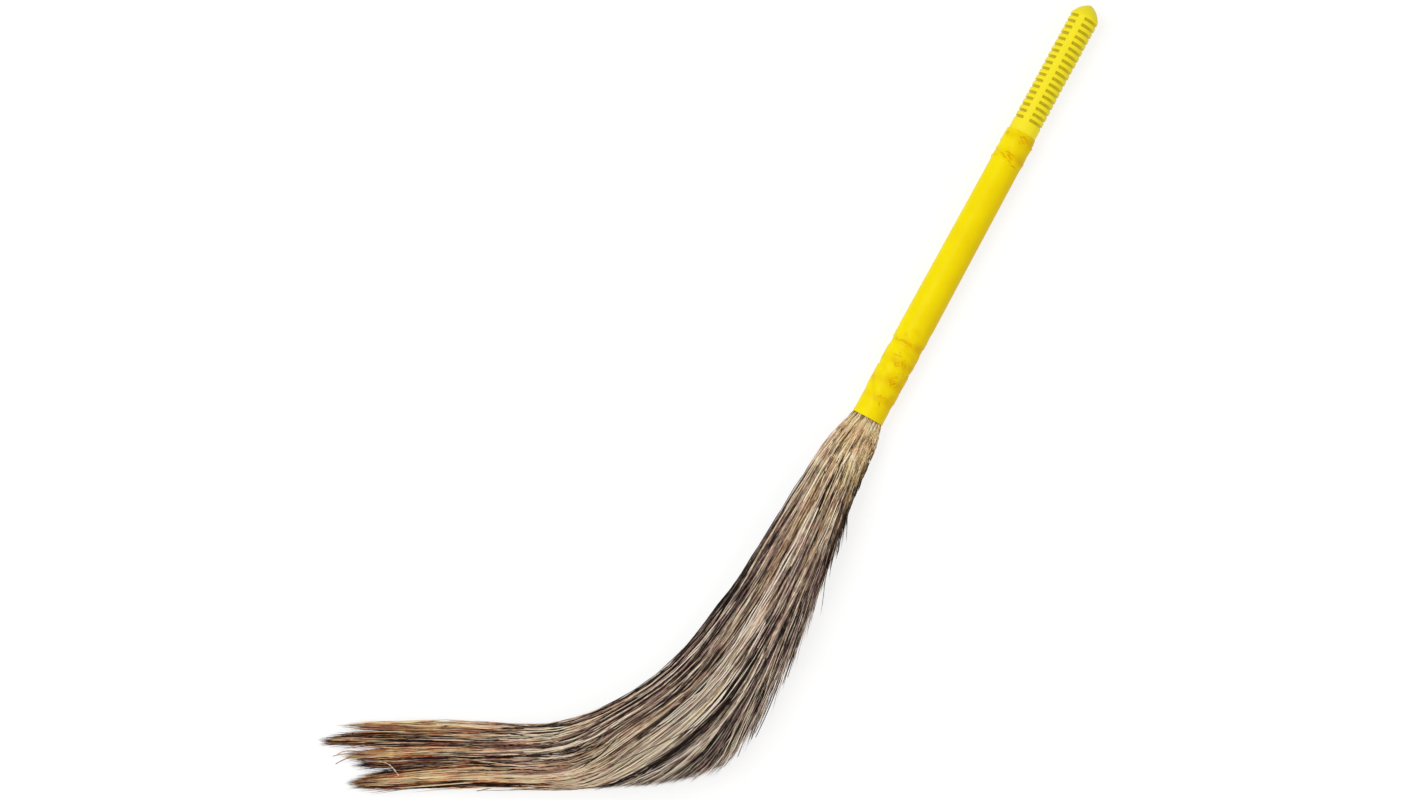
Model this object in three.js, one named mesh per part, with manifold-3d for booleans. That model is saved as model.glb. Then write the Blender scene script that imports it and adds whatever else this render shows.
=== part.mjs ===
// Hand broom: a grass head bound into a yellow plastic handle, lying flat as it is put away.
// Lengths are in millimetres and +Z is up. Seen from above, the handle points up and to the
// right, and the head falls away from the neck and is set to the left.
import * as THREE from "three";
import { mergeVertices } from "three/addons/utils/BufferGeometryUtils.js";
import Module from "manifold-3d";

const wasm = await Module();
wasm.setup();

// Fits and fineness
const clearance = 0.3;
const overrun = 3;
const weldDistance = 1e-3;
const facets = 24;
const facetAngle = (2 * Math.PI) / facets;

// Handle, measured along its axis from the edge of the sleeve at the neck
const handleLean = THREE.MathUtils.degToRad(28.5);
const boundLength = 100;
const stemInsertion = 125;

// Pipe
const pipeLength = 209.7;
const gripRadius = 14.6;
const pipeFlare = 1.4;
const pipeWall = 1.7;

// Moulded grip cap
const collarLength = 13;
const collarInSleeve = 12;
const spigotLength = 26;
const spigotWall = 2.4;
const slotCount = 18;
const slotPitch = 6.75;
const slotWidth = 2.8;
const slotDepth = 1.8;
const stripFacets = 2;
const stripTurn = THREE.MathUtils.degToRad(-12);
const capEndLength = 16;
const domeHeight = 15;
const domeWall = 3.2;
const domeSteps = 6;
const domeTaper = 1.38; // 1 is a plain ellipse, and more than 1 draws in towards the tip

// Shrunk film sleeve and the twine that it covers
const filmThickness = 0.4;
const bumpHeight = 0.8;
const rampLength = 4;
const twineDiameter = 1.8;
const twineSides = 4;
const twineTurns = 2;
const twinePitchShare = 1.15; // of its diameter
const bindingShares = [0.31, 0.5, 0.68, 0.88];

// Bundle of stems inside the handle
const bindSwell = 0.3;
const neckSwell = 1.4;
const buttProud = 1.5;
const bundleTaper = 1.2;
const pegLength = 85;
const pegRadius = 4;
const pegPointRadius = 1.6;

// Grass head. Each section across the head, neck to tips, is given as shares of its reach to
// the left, of its drop and of its height: inner edge x, y, outer edge x, y, and height.
const headReach = 543;
const headDrop = 374;
const headHeight = 47;
const sectionShares = [
  [0.153, 0.219, 0.048, 0.299, 0.89],
  [0.3, 0.54, 0.147, 0.652, 1],
  [0.427, 0.727, 0.268, 0.99, 0.98],
  [0.567, 0.813, 0.515, 1.075, 0.86],
  [1.054, 0.83, 1.054, 1.05, 0.38],
];
const strandRings = 10;
const strandRingShift = 0.4;
const strandPitchShare = 0.905;
const strandGirthShare = 0.43;
const strandSides = 3;
const heelShare = 0.71; // strands further out across the head than this end at the heel
const heelEnd = 2.5; // in sections from the neck, for the outermost strand
const heelSpread = 1.4; // in sections, from the outermost strand's end to the longest one's
const heelCurve = 0.8;
const raggedShare = 0.3; // of a section, from the longest strand to its neighbours
const goldenShare = (Math.sqrt(5) - 1) / 2; // spreads the strands' lengths evenly
const coreShortening = 1.5; // in sections, of the strands in the middle of the bundle
const taperSections = 1.2;
// Each tuft at the tips: the span across the head that it gathers, its middle and its reach.
const tuftShares = [
  { from: 0, to: 0.1, middle: 0.02, reach: 0.96 },
  { from: 0.1, to: 0.24, middle: 0.16, reach: 1 },
  { from: 0.24, to: 0.42, middle: 0.31, reach: 0.95 },
  { from: 0.42, to: heelShare, middle: 0.6, reach: 0.94 },
];
const tuftWidthShare = 0.3;
const tuftHeightShare = 0.55;

// Worked out from the above
const pipeTop = boundLength + pipeLength;
const capShoulder = pipeTop + clearance;
const sleeveLength = capShoulder + collarInSleeve;
const pipeBottomRadius = gripRadius + pipeFlare;
const boreRadius = gripRadius - pipeWall - clearance - spigotWall;
const firstSlot = sleeveLength + collarLength;
const capSideEnd = firstSlot + (slotCount - 1) * slotPitch + slotWidth + capEndLength;
const bundleTop = boundLength + stemInsertion;
const bundleRadius = pipeBottomRadius - pipeWall - clearance;
const boundRadius = bundleRadius + bindSwell;
const neckRadius = boundRadius + neckSwell;
const twineCentre = boundRadius + clearance + twineDiameter / 2;
const bindingWidth = twineDiameter * (twineTurns + 1);
const bumpInner = twineCentre + twineDiameter / 2 + clearance;
const bumpOuter = bumpInner + filmThickness;
const axisHeight = bumpOuter * Math.cos(facetAngle / 2);

// A closed solid, for joining and cutting, from a geometry's positions alone.
function solidOf(geometry) {
  const loose = geometry.index ? geometry.toNonIndexed() : geometry;
  const bare = new THREE.BufferGeometry();
  bare.setAttribute("position", loose.getAttribute("position"));
  const merged = mergeVertices(bare, weldDistance);
  const triangles = [];
  const index = merged.index.array;
  for (let i = 0; i < index.length; i += 3) {
    const [a, b, c] = [index[i], index[i + 1], index[i + 2]];
    if (a !== b && b !== c && c !== a) triangles.push(a, b, c);
  }
  return new wasm.Manifold(
    new wasm.Mesh({
      numProp: 3,
      vertProperties: merged.getAttribute("position").array,
      triVerts: new Uint32Array(triangles),
    }),
  );
}

function geometryOf(solid) {
  const mesh = solid.getMesh();
  const geometry = new THREE.BufferGeometry();
  geometry.setAttribute("position", new THREE.BufferAttribute(mesh.vertProperties, 3));
  geometry.setIndex(new THREE.BufferAttribute(mesh.triVerts, 1));
  geometry.computeVertexNormals();
  return geometry;
}

// A turned solid about the handle's axis, from [radius, place along the handle] pairs. A facet
// lies square to the floor, so that the handle rests flat, unless a phase says otherwise.
function turned(profile, phase = facetAngle / 2) {
  const points = profile.map(([radius, along]) => new THREE.Vector2(radius, along));
  return solidOf(new THREE.LatheGeometry(points, facets, phase));
}

// The dome from the side up to the axis, as profile points: a quarter of a drawn-in ellipse.
function domeArc(radius, height, base) {
  const points = [];
  for (let i = 0; i <= domeSteps; i++) {
    const angle = (i / domeSteps) * (Math.PI / 2);
    const out = i === domeSteps ? 0 : Math.cos(angle) ** domeTaper;
    points.push([radius * out, base + height * Math.sin(angle) ** domeTaper]);
  }
  return points;
}

function makePipe() {
  return turned([
    [pipeBottomRadius - pipeWall, boundLength],
    [pipeBottomRadius, boundLength],
    [gripRadius, pipeTop],
    [gripRadius - pipeWall, pipeTop],
    [pipeBottomRadius - pipeWall, boundLength],
  ]);
}

// The slots on one side of the grip, as cutters: each is a flat ring sector.
function slotCutter(along, turn) {
  const sweep = Math.PI - stripFacets * facetAngle;
  const floor = gripRadius - slotDepth;
  const outer = gripRadius + overrun;
  const start = turn - sweep / 2;
  const sector = new THREE.Shape();
  sector.moveTo(outer * Math.cos(start), outer * Math.sin(start));
  sector.absarc(0, 0, outer, start, start + sweep, false);
  sector.lineTo(floor * Math.cos(start + sweep), floor * Math.sin(start + sweep));
  sector.absarc(0, 0, floor, start + sweep, start, true);
  const cutter = new THREE.ExtrudeGeometry(sector, {
    depth: slotWidth,
    bevelEnabled: false,
    curveSegments: (facets / 2 - stripFacets) / 2,
  });
  cutter.rotateX(-Math.PI / 2);
  cutter.translate(0, along, 0);
  return solidOf(cutter);
}

function makeGripCap() {
  const spigotRadius = gripRadius - pipeWall - clearance;
  const sideTop = capSideEnd - domeHeight;
  const boreScale = boreRadius / gripRadius;
  const cavityHeight = domeHeight * boreScale;
  const outside = [
    [boreRadius, capShoulder - spigotLength],
    [spigotRadius, capShoulder - spigotLength],
    [spigotRadius, capShoulder],
    [gripRadius, capShoulder],
    ...domeArc(gripRadius, domeHeight, sideTop),
  ];
  const inside = domeArc(boreRadius, cavityHeight, capSideEnd - domeWall - cavityHeight);
  const body = turned([...outside, ...inside.reverse(), outside[0]], 0);
  const cutters = [];
  for (let i = 0; i < slotCount; i++) {
    const along = firstSlot + i * slotPitch;
    cutters.push(slotCutter(along, 0), slotCutter(along, Math.PI));
  }
  return body.subtract(wasm.Manifold.union(cutters));
}

// The film is drawn tight over each binding, bridges the stems between them, and then lies on
// the pipe and on the cap's collar.
function makeSleeve() {
  const valley = bumpInner - bumpHeight;
  const inside = [[neckRadius + clearance, 0]];
  bindingShares.forEach((share, i) => {
    const place = share * boundLength;
    const before = i ? (bindingShares[i - 1] * boundLength + place) / 2 : place / 2;
    inside.push([valley, before]);
    inside.push([bumpInner, place - bindingWidth / 2]);
    inside.push([bumpInner, place + bindingWidth / 2]);
  });
  inside.push([pipeBottomRadius + clearance, boundLength - clearance]);
  inside.push([gripRadius + clearance, pipeTop]);
  inside.push([gripRadius + clearance, sleeveLength]);
  const outside = inside.map(([radius, along]) => [radius + filmThickness, along]);
  return turned([...outside, ...inside.reverse(), outside[0]]);
}

// One binding: twine wound round the stems in a helix, its turns side by side.
class Winding extends THREE.Curve {
  getPoint(share, target = new THREE.Vector3()) {
    const angle = facetAngle / 2 + share * twineTurns * 2 * Math.PI;
    const along = (share - 1 / 2) * twineTurns * twineDiameter * twinePitchShare;
    return target.set(twineCentre * Math.sin(angle), along, twineCentre * Math.cos(angle));
  }
}

function makeBinding() {
  const section = new THREE.Shape();
  for (let i = 0; i < twineSides; i++) {
    const angle = (i / twineSides) * 2 * Math.PI;
    const x = (twineDiameter / 2) * Math.cos(angle);
    const y = (twineDiameter / 2) * Math.sin(angle);
    if (i) section.lineTo(x, y);
    else section.moveTo(x, y);
  }
  return new THREE.ExtrudeGeometry(section, {
    steps: twineTurns * facets,
    bevelEnabled: false,
    extrudePath: new Winding(),
  });
}

function makePeg(swell) {
  const low = bundleTop - pegLength;
  return turned([
    [0, low - swell],
    [pegPointRadius + swell, low - swell],
    [pegRadius + swell, bundleTop],
    [0, bundleTop],
  ]);
}

// The bundle's outline along the handle, from the face that the strands grow out of.
const firstBinding = bindingShares[0] * boundLength - bindingWidth / 2;
const bundleProfile = [
  [neckRadius, -buttProud],
  [boundRadius, firstBinding],
  [boundRadius, boundLength - rampLength],
  [bundleRadius, boundLength],
  [bundleRadius - bundleTaper, bundleTop],
];

function onCircle(radius, angle) {
  return new THREE.Vector2(Math.cos(angle), Math.sin(angle)).multiplyScalar(radius);
}

// A quarter of the bundle's section, short of its neighbours by half the clearance.
function quarterOutline(radius, turn) {
  const edge = clearance / 2;
  const first = Math.asin(edge / radius);
  const steps = facets / 4;
  const outline = [new THREE.Vector2(edge, edge).rotateAround(new THREE.Vector2(), turn)];
  for (let i = 0; i <= steps; i++) {
    const angle = THREE.MathUtils.lerp(first, Math.PI / 2 - first, i / steps);
    outline.push(onCircle(radius, turn + angle));
  }
  return outline;
}

// The head's sections in the part's frame. Each strand is a small cell of the neck's disc,
// carried from section to section by the same map, so that no two strands cross.
const handleFrame = new THREE.Matrix4()
  .makeRotationZ(-handleLean)
  .setPosition(0, 0, axisHeight);
const sections = sectionShares.map(([innerX, innerY, outerX, outerY, height]) => ({
  inner: new THREE.Vector2(-innerX * headReach, -innerY * headDrop),
  outer: new THREE.Vector2(-outerX * headReach, -outerY * headDrop),
  height: height * headHeight,
}));

// The point of a section that a point of the neck's disc, in shares of its radius, goes to.
function onSection(number, { x, y }) {
  if (number === 0) {
    const root = new THREE.Vector3(x * neckRadius, -buttProud, y * neckRadius);
    return root.applyMatrix4(handleFrame);
  }
  const { inner, outer, height } = sections[number - 1];
  const plan = inner.clone().lerp(outer, (1 + x) / 2);
  return new THREE.Vector3(plan.x, plan.y, ((1 + y) * height) / 2);
}

// Where a strand ends, in sections from the neck, and the tuft that gathers it.
function strandEnd(middle, wobble) {
  const place = (1 + middle.x) / 2;
  const tuft = tuftShares.find(({ from, to }) => place >= from && place < to);
  if (tuft) {
    const short = raggedShare * wobble + coreShortening * (1 - middle.length());
    return { end: sections.length - 1 + tuft.reach - short, tuft };
  }
  const outward = (1 - place) / (1 - heelShare);
  return { end: heelEnd + heelSpread * outward ** heelCurve - raggedShare * wobble };
}

function gathered(number, point, tuft) {
  if (number < sections.length || !tuft) return point;
  const middle = 2 * tuft.middle - 1;
  return { x: middle + (point.x - middle) * tuftWidthShare, y: point.y * tuftHeightShare };
}

// The cells of the strands in one quarter of the neck's disc, in shares of its radius, kept
// clear of the quarter's edges and of each other.
function strandCells(turn) {
  const girth = strandGirthShare / strandRings;
  const margin = girth + clearance / neckRadius;
  const cells = [];
  for (let ring = 1; ring < strandRings; ring++) {
    const radius = (ring + strandRingShift) / strandRings;
    const first = Math.asin(margin / radius);
    const last = Math.PI / 2 - first;
    const count = Math.floor(((last - first) * radius * strandRings) / strandPitchShare) + 1;
    for (let i = 0; i < count; i++) {
      const share = count > 1 ? i / (count - 1) : 1 / 2;
      const angle = turn + THREE.MathUtils.lerp(first, last, share);
      const middle = onCircle(radius, angle);
      const corners = [];
      for (let side = 0; side < strandSides; side++) {
        corners.push(onCircle(girth, angle + (side / strandSides) * 2 * Math.PI).add(middle));
      }
      cells.push({ middle, corners });
    }
  }
  return cells;
}

// The stems of one quarter as rings of points along the handle, closed by their top face.
function addStems(points, triangles, outlines) {
  const size = outlines[0].length;
  outlines.forEach((outline, level) => {
    const along = bundleProfile[level][1];
    for (const { x, y } of outline) {
      points.push(new THREE.Vector3(x, along, y).applyMatrix4(handleFrame));
    }
  });
  const top = points.length - size;
  for (let level = 0; level < top; level += size) {
    for (let i = 0; i < size; i++) {
      const a = level + i;
      const b = level + ((i + 1) % size);
      triangles.push(a, a + size, b + size, a, b + size, b);
    }
  }
  for (let i = 1; i < size - 1; i++) triangles.push(top, top + i + 1, top + i);
}

// The stems' end face, with the roots of the strands as triangular openings in it.
function addFace(points, triangles, outline, cells) {
  const firstRoot = points.length;
  const roots = cells.map(({ corners }) =>
    corners.map((corner) => corner.clone().multiplyScalar(neckRadius)),
  );
  const pointOf = (i) => (i < outline.length ? i : firstRoot + i - outline.length);
  for (const corners of THREE.ShapeUtils.triangulateShape(outline, roots)) {
    triangles.push(...corners.map(pointOf));
  }
  for (const { corners } of cells) {
    points.push(...corners.map((corner) => onSection(0, corner)));
  }
  return firstRoot;
}

// One strand, from the ring of points at its root to its tip.
function addStrand(points, triangles, root, { middle, corners }, wobble) {
  const { end, tuft } = strandEnd(middle, wobble);
  const at = (number, point) => onSection(number, gathered(number, point, tuft));
  const whole = Math.ceil(end) - 1;
  let ring = root;
  for (let number = 1; number <= whole; number++) {
    const taper = Math.min(1, (end - number) / taperSections);
    const next = points.length;
    points.push(...corners.map((corner) => at(number, middle.clone().lerp(corner, taper))));
    for (let side = 0; side < strandSides; side++) {
      const other = (side + 1) % strandSides;
      triangles.push(ring + side, ring + other, next + other);
      triangles.push(ring + side, next + other, next + side);
    }
    ring = next;
  }
  const tip = points.length;
  points.push(at(whole, middle).lerp(at(whole + 1, middle), end - whole));
  for (let side = 0; side < strandSides; side++) {
    triangles.push(ring + side, ring + ((side + 1) % strandSides), tip);
  }
}

// One bunch: a quarter of the bound stems, and the strands that grow out of its end face.
function makeBunch(quarter) {
  const turn = (quarter * Math.PI) / 2;
  const outlines = bundleProfile.map(([radius]) => quarterOutline(radius, turn));
  const cells = strandCells(turn);
  const points = [];
  const triangles = [];
  addStems(points, triangles, outlines);
  const firstRoot = addFace(points, triangles, outlines[0], cells);
  cells.forEach((cell, number) => {
    const wobble = (number * goldenShare) % 1;
    addStrand(points, triangles, firstRoot + number * strandSides, cell, wobble);
  });
  return new THREE.BufferGeometry().setFromPoints(points).setIndex(triangles);
}

// Finishes
function finish(color, roughness) {
  return new THREE.MeshStandardMaterial({ color, roughness, metalness: 0 });
}

function addPiece(parent, name, geometry, material) {
  const mesh = new THREE.Mesh(geometry, material);
  mesh.name = name;
  parent.add(mesh);
  return mesh;
}

// Assembly
const broom = new THREE.Group();
const lying = new THREE.Group();
broom.add(lying);

const handle = new THREE.Group();
handle.rotation.z = -handleLean;
handle.position.z = axisHeight;
lying.add(handle);

const cap = addPiece(handle, "grip_cap", geometryOf(makeGripCap()), finish(0xf3dc1c, 0.42));
cap.rotation.y = stripTurn;
addPiece(handle, "handle_pipe", geometryOf(makePipe()), finish(0xe9cf2a, 0.5));
addPiece(handle, "shrink_sleeve", geometryOf(makeSleeve()), finish(0xf8de0c, 0.3));
addPiece(handle, "stem_peg", geometryOf(makePeg(0)), finish(0xb98f5c, 0.8));
bindingShares.forEach((share, i) => {
  const binding = addPiece(handle, `binding_twine_${i + 1}`, makeBinding(), finish(0xd9cfae, 0.85));
  binding.position.y = share * boundLength;
});

const pegHole = solidOf(geometryOf(makePeg(clearance)).applyMatrix4(handleFrame));
for (let quarter = 0; quarter < 4; quarter++) {
  const bunch = geometryOf(solidOf(makeBunch(quarter)).subtract(pegHole));
  addPiece(lying, `grass_bunch_${quarter + 1}`, bunch, finish(0x8a7462, 0.75));
}

// The origin is under the middle of the whole broom, on the surface that it lies on.
broom.updateMatrixWorld(true);
const reach = new THREE.Box3().setFromObject(broom, true);
const middle = reach.getCenter(new THREE.Vector3());
lying.position.set(-middle.x, -middle.y, -reach.min.z);

export default broom;
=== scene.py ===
# Hand broom: the finish of its handle, its grass and the stage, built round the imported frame.
# Lengths are in metres where Blender shows them and in millimetres where a name ends in _mm.
# A place down the head is a station: 0 is the neck, and 12 the last row of HEAD_STATIONS_MM.
# A place across the head is a share, from 0 at its inner edge to 1 at its heel edge.
import math

import bpy
import numpy as np
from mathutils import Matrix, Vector


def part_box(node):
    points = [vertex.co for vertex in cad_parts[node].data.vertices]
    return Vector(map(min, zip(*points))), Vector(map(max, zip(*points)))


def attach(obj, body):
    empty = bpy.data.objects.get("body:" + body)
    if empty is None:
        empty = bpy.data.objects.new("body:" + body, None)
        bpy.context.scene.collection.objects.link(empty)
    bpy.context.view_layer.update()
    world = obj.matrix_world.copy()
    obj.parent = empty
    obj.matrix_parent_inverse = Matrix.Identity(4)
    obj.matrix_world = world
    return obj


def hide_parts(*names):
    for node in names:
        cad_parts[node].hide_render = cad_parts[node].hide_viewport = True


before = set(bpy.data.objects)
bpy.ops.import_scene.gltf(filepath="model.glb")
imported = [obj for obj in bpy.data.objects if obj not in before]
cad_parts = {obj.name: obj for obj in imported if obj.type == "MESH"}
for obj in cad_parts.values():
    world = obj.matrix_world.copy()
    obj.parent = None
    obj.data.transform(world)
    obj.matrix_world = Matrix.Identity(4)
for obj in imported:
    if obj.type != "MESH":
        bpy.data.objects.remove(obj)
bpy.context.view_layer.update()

bl_info = {
    "name": "Hand Broom",
    "version": (1, 0, 0),
    "blender": (4, 5, 0),
    "location": "View3D > Sidebar > Hand Broom",
    "description": "Finishes a grass hand broom with a yellow plastic handle, lying on a pale floor",
    "category": "Object",
}

MM = 0.001
FULL_TURN = 2 * math.pi
BODY = "root"
BUNCHES = 4
TWINES = [f"binding_twine_{number}" for number in (1, 2, 3, 4)]

# The photograph, whose scale is one pixel to a millimetre at the height of the handle's axis
PHOTO_SIZE = (1422, 800)
PHOTO_NECK = (867.6, 417.8)
PIXEL = MM

# Sides of the turned pieces, and the radius that stands for a point
TURN_SIDES = 192
TURN = np.arange(TURN_SIDES)[None, :] * FULL_TURN / TURN_SIDES
POINT_RADIUS_MM = 0.02


def linear(hex_colour):
    """An sRGB hex colour as linear red, green, blue and alpha."""
    channels = [int(hex_colour[i : i + 2], 16) / 255 for i in (1, 3, 5)]
    low = [c / 12.92 for c in channels]
    high = [((c + 0.055) / 1.055) ** 2.4 for c in channels]
    return tuple(h if c > 0.04045 else l for c, l, h in zip(channels, low, high)) + (1.0,)


def smooth(low, high, value):
    """Rises from 0 at low to 1 at high, with a level start and end. Low may be the larger."""
    share = np.clip((value - low) / (high - low), 0, 1)
    return share * share * (3 - 2 * share)


def rising(base, rises, value):
    """A base amount and the rises that a value has passed."""
    for height, low, high in rises:
        base = base + height * smooth(low, high, value)
    return base


def hump(value, middle, width):
    """A round hump, 1 at its middle."""
    return np.exp(-(((value - middle) / width) ** 2))


class Handle:
    """The handle's own axes: across to the head's outer side, along to the tip, and up."""

    def __init__(self):
        low, high = self.centre(TWINES[0]), self.centre(TWINES[-1])
        self.along = (high - low).normalized()
        self.across = Vector((self.along.y, -self.along.x, 0))
        self.origin = low  # only until the neck is found from it
        self.origin = low + self.along * self.reach("shrink_sleeve")[0] * MM

    @staticmethod
    def centre(node):
        """The middle of a node's box."""
        low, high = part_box(node)
        return (low + high) / 2

    def reach(self, node):
        """Where a node starts and ends along the handle, in millimetres from the neck."""
        places = [(v.co - self.origin).dot(self.along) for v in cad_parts[node].data.vertices]
        return min(places) / MM, max(places) / MM

    def radius(self, node):
        """The greatest distance of a node from the handle's axis, in millimetres."""
        distances = []
        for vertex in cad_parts[node].data.vertices:
            away = vertex.co - self.origin
            distances.append((away - self.along * away.dot(self.along)).length)
        return max(distances) / MM

    def point(self, across_mm, along_mm, up_mm):
        """Points given in the handle's axes, as rows of metres in the part's frame."""
        axes = [np.array(self.across), np.array(self.along), np.array((0, 0, 1))]
        places = np.array(self.origin) / MM
        for axis, amount in zip(axes, (across_mm, along_mm, up_mm)):
            places = places + np.asarray(amount)[..., None] * axis
        return places * MM


HANDLE = Handle()
SLEEVE_END_MM = HANDLE.reach("shrink_sleeve")[1]
CAP_START_MM, CAP_END_MM = HANDLE.reach("grip_cap")
AXIS_HEIGHT_MM = HANDLE.origin.z / MM


def add_piece(name, points, faces, material, nodes, shares=None, uv=None):
    """Adds a mesh piece from rows of points and rows of corner numbers, -1 where a face is a
    triangle, and gives it its material, its body and the nodes that it stands for."""
    faces = np.asarray(faces)
    used = faces >= 0
    totals = used.sum(axis=1)
    mesh = bpy.data.meshes.new(name)
    mesh.vertices.add(len(points))
    mesh.vertices.foreach_set("co", np.ascontiguousarray(points, dtype=np.float32).ravel())
    mesh.loops.add(int(totals.sum()))
    mesh.polygons.add(len(faces))
    mesh.polygons.foreach_set("loop_start", np.concatenate(([0], np.cumsum(totals)[:-1])))
    mesh.loops.foreach_set("vertex_index", faces[used].astype(np.int32))
    mesh.update(calc_edges=True)
    mesh.shade_smooth()
    for label, values in (shares or {}).items():
        layer = mesh.attributes.new(label, "FLOAT", "POINT")
        layer.data.foreach_set("value", np.ascontiguousarray(values, dtype=np.float32).ravel())
    if uv is not None:
        layer = mesh.uv_layers.new(name="OFBake")
        layer.data.foreach_set("uv", np.ascontiguousarray(uv, dtype=np.float32).ravel())
    mesh.materials.append(material)
    piece = bpy.data.objects.new(name, mesh)
    bpy.context.scene.collection.objects.link(piece)
    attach(piece, BODY)
    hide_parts(*nodes)
    return piece


# Sockets of the colour Mix node, whose names repeat
MIX_SHARE, MIX_FROM, MIX_TO, MIX_RESULT = 0, 6, 7, 2


def add_node(tree, kind, inputs=None, stops=(), **settings):
    """Adds a node with its settings, the colours of its ramp at even steps, and what feeds its
    inputs: a value, a socket, or a node whose first output is taken."""
    node = tree.nodes.new(kind)
    for name, value in settings.items():
        setattr(node, name, value)
    for number, colour in enumerate(stops):
        elements = node.color_ramp.elements
        place = number / (len(stops) - 1)
        element = elements[0] if number == 0 else elements.new(place)
        if number == 1:
            elements.remove(elements[-1])
        element.position = place
        element.color = linear(colour)
    for socket, value in (inputs or {}).items():
        if isinstance(value, bpy.types.Node):
            value = value.outputs[0]
        if isinstance(value, bpy.types.NodeSocket):
            tree.links.new(value, node.inputs[socket])
        else:
            node.inputs[socket].default_value = value
    return node


def scale_of(size_mm):
    """The scale of a noise whose patches have a size."""
    return 1 / (size_mm * MM)


def new_material(name):
    """An empty material and its tree."""
    material = bpy.data.materials.new(name)
    material.use_nodes = True
    tree = material.node_tree
    tree.nodes.clear()
    return material, tree


def finish_surface(tree, colour, relief, roughness, specular):
    """Ends a material with its colour, its relief as a height, a strength and a depth in
    millimetres, its roughness as what varies it, its least and its most, and its shine."""
    height, strength, depth_mm = relief
    pattern, least, most = roughness
    bump = add_node(tree, "ShaderNodeBump", {
        "Height": height, "Strength": strength, "Distance": depth_mm * MM})
    rough = add_node(tree, "ShaderNodeMapRange", {
        "Value": pattern, "To Min": least, "To Max": most})
    shader = add_node(tree, "ShaderNodeBsdfPrincipled", {
        "Base Color": colour, "Roughness": rough, "Normal": bump, "Specular IOR Level": specular})
    add_node(tree, "ShaderNodeOutputMaterial", {"Surface": shader})


def moulded_plastic(name, colour, dark, roughness):
    """Injection-moulded polypropylene: half-matt, faintly clouded at 18 mm, with a 0.6 mm moulded
    grain, and darkened with painted shade in its slots, where its attribute says."""
    cloud_mm, grain_mm = 18, 0.6
    rougher = 0.06
    material, tree = new_material(name)
    place = add_node(tree, "ShaderNodeTexCoord").outputs["Object"]
    cloud = add_node(tree, "ShaderNodeTexNoise", {
        "Vector": place, "Scale": scale_of(cloud_mm), "Detail": 3})
    brightness = add_node(tree, "ShaderNodeMapRange", {
        "Value": cloud, "To Min": 0.97, "To Max": 1.03})
    clouded = add_node(tree, "ShaderNodeHueSaturation", {"Value": brightness, "Color": colour})
    # Painted shade in the slots, darker where they sink deeper
    painted_slot_shade = add_node(tree, "ShaderNodeAttribute", attribute_name="painted_slot_shade").outputs["Fac"]
    tinted = add_node(tree, "ShaderNodeMix", {
        MIX_SHARE: painted_slot_shade, MIX_FROM: clouded, MIX_TO: dark}, data_type="RGBA")
    grain = add_node(tree, "ShaderNodeTexNoise", {
        "Vector": place, "Scale": scale_of(grain_mm), "Detail": 2})
    finish_surface(tree, tinted.outputs[MIX_RESULT], relief=(grain, 0.12, 0.1),
                   roughness=(cloud, roughness - rougher, roughness + rougher), specular=0.16)
    return material


def shrunk_film(name, colour, deep_and_shade, roughness):
    """Heat-shrunk PVC film: half-glossy, of a deeper yellow in patches of 22 mm where it has drawn
    thick, with painted shade laid in where its attribute says: on one side, in hollows and in its
    folds and lumps. It has a soft ripple at 6 mm."""
    cloud_mm, ripple_mm = 22, 6
    smoother, rougher = 0.05, 0.1
    material, tree = new_material(name)
    place = add_node(tree, "ShaderNodeTexCoord").outputs["Object"]
    cloud = add_node(tree, "ShaderNodeTexNoise", {
        "Vector": place, "Scale": scale_of(cloud_mm), "Detail": 4})
    patch = add_node(tree, "ShaderNodeMapRange", {
        "Value": cloud, "From Min": 0.4, "From Max": 0.75, "To Min": 0.0, "To Max": 0.25})
    base = add_node(tree, "ShaderNodeMix", {
        MIX_SHARE: patch, MIX_FROM: colour, MIX_TO: deep_and_shade}, data_type="RGBA")
    # Painted shade on one side, in hollows and in the troughs of folds and lumps, over a little deeper
    # yellow everywhere
    tint_and_painted_shade = add_node(tree, "ShaderNodeAttribute", attribute_name="tint_and_painted_shade").outputs["Fac"]
    tinted = add_node(tree, "ShaderNodeMix", {
        MIX_SHARE: tint_and_painted_shade, MIX_FROM: base.outputs[MIX_RESULT], MIX_TO: deep_and_shade}, data_type="RGBA")
    ripple = add_node(tree, "ShaderNodeTexNoise", {
        "Vector": place, "Scale": scale_of(ripple_mm), "Detail": 3})
    finish_surface(tree, tinted.outputs[MIX_RESULT], relief=(ripple, 0.25, 0.3),
                   roughness=(cloud, roughness - smoother, roughness + rougher), specular=0.06)
    return material


# Colours of the grass from the darkest tone to the lightest: as it grows, and at its tips
RUDDY = ("#201713", "#4d4039", "#91796e", "#c6aa98", "#ecd6bc", "#fff2de")
TAN = ("#1a1410", "#54442d", "#967d50", "#cfad70", "#f4da9c", "#fff2c8")
GOLDEN = ("#161014", "#552d22", "#a86032", "#e29c4e", "#f6c676", "#fde4ac")


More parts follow.
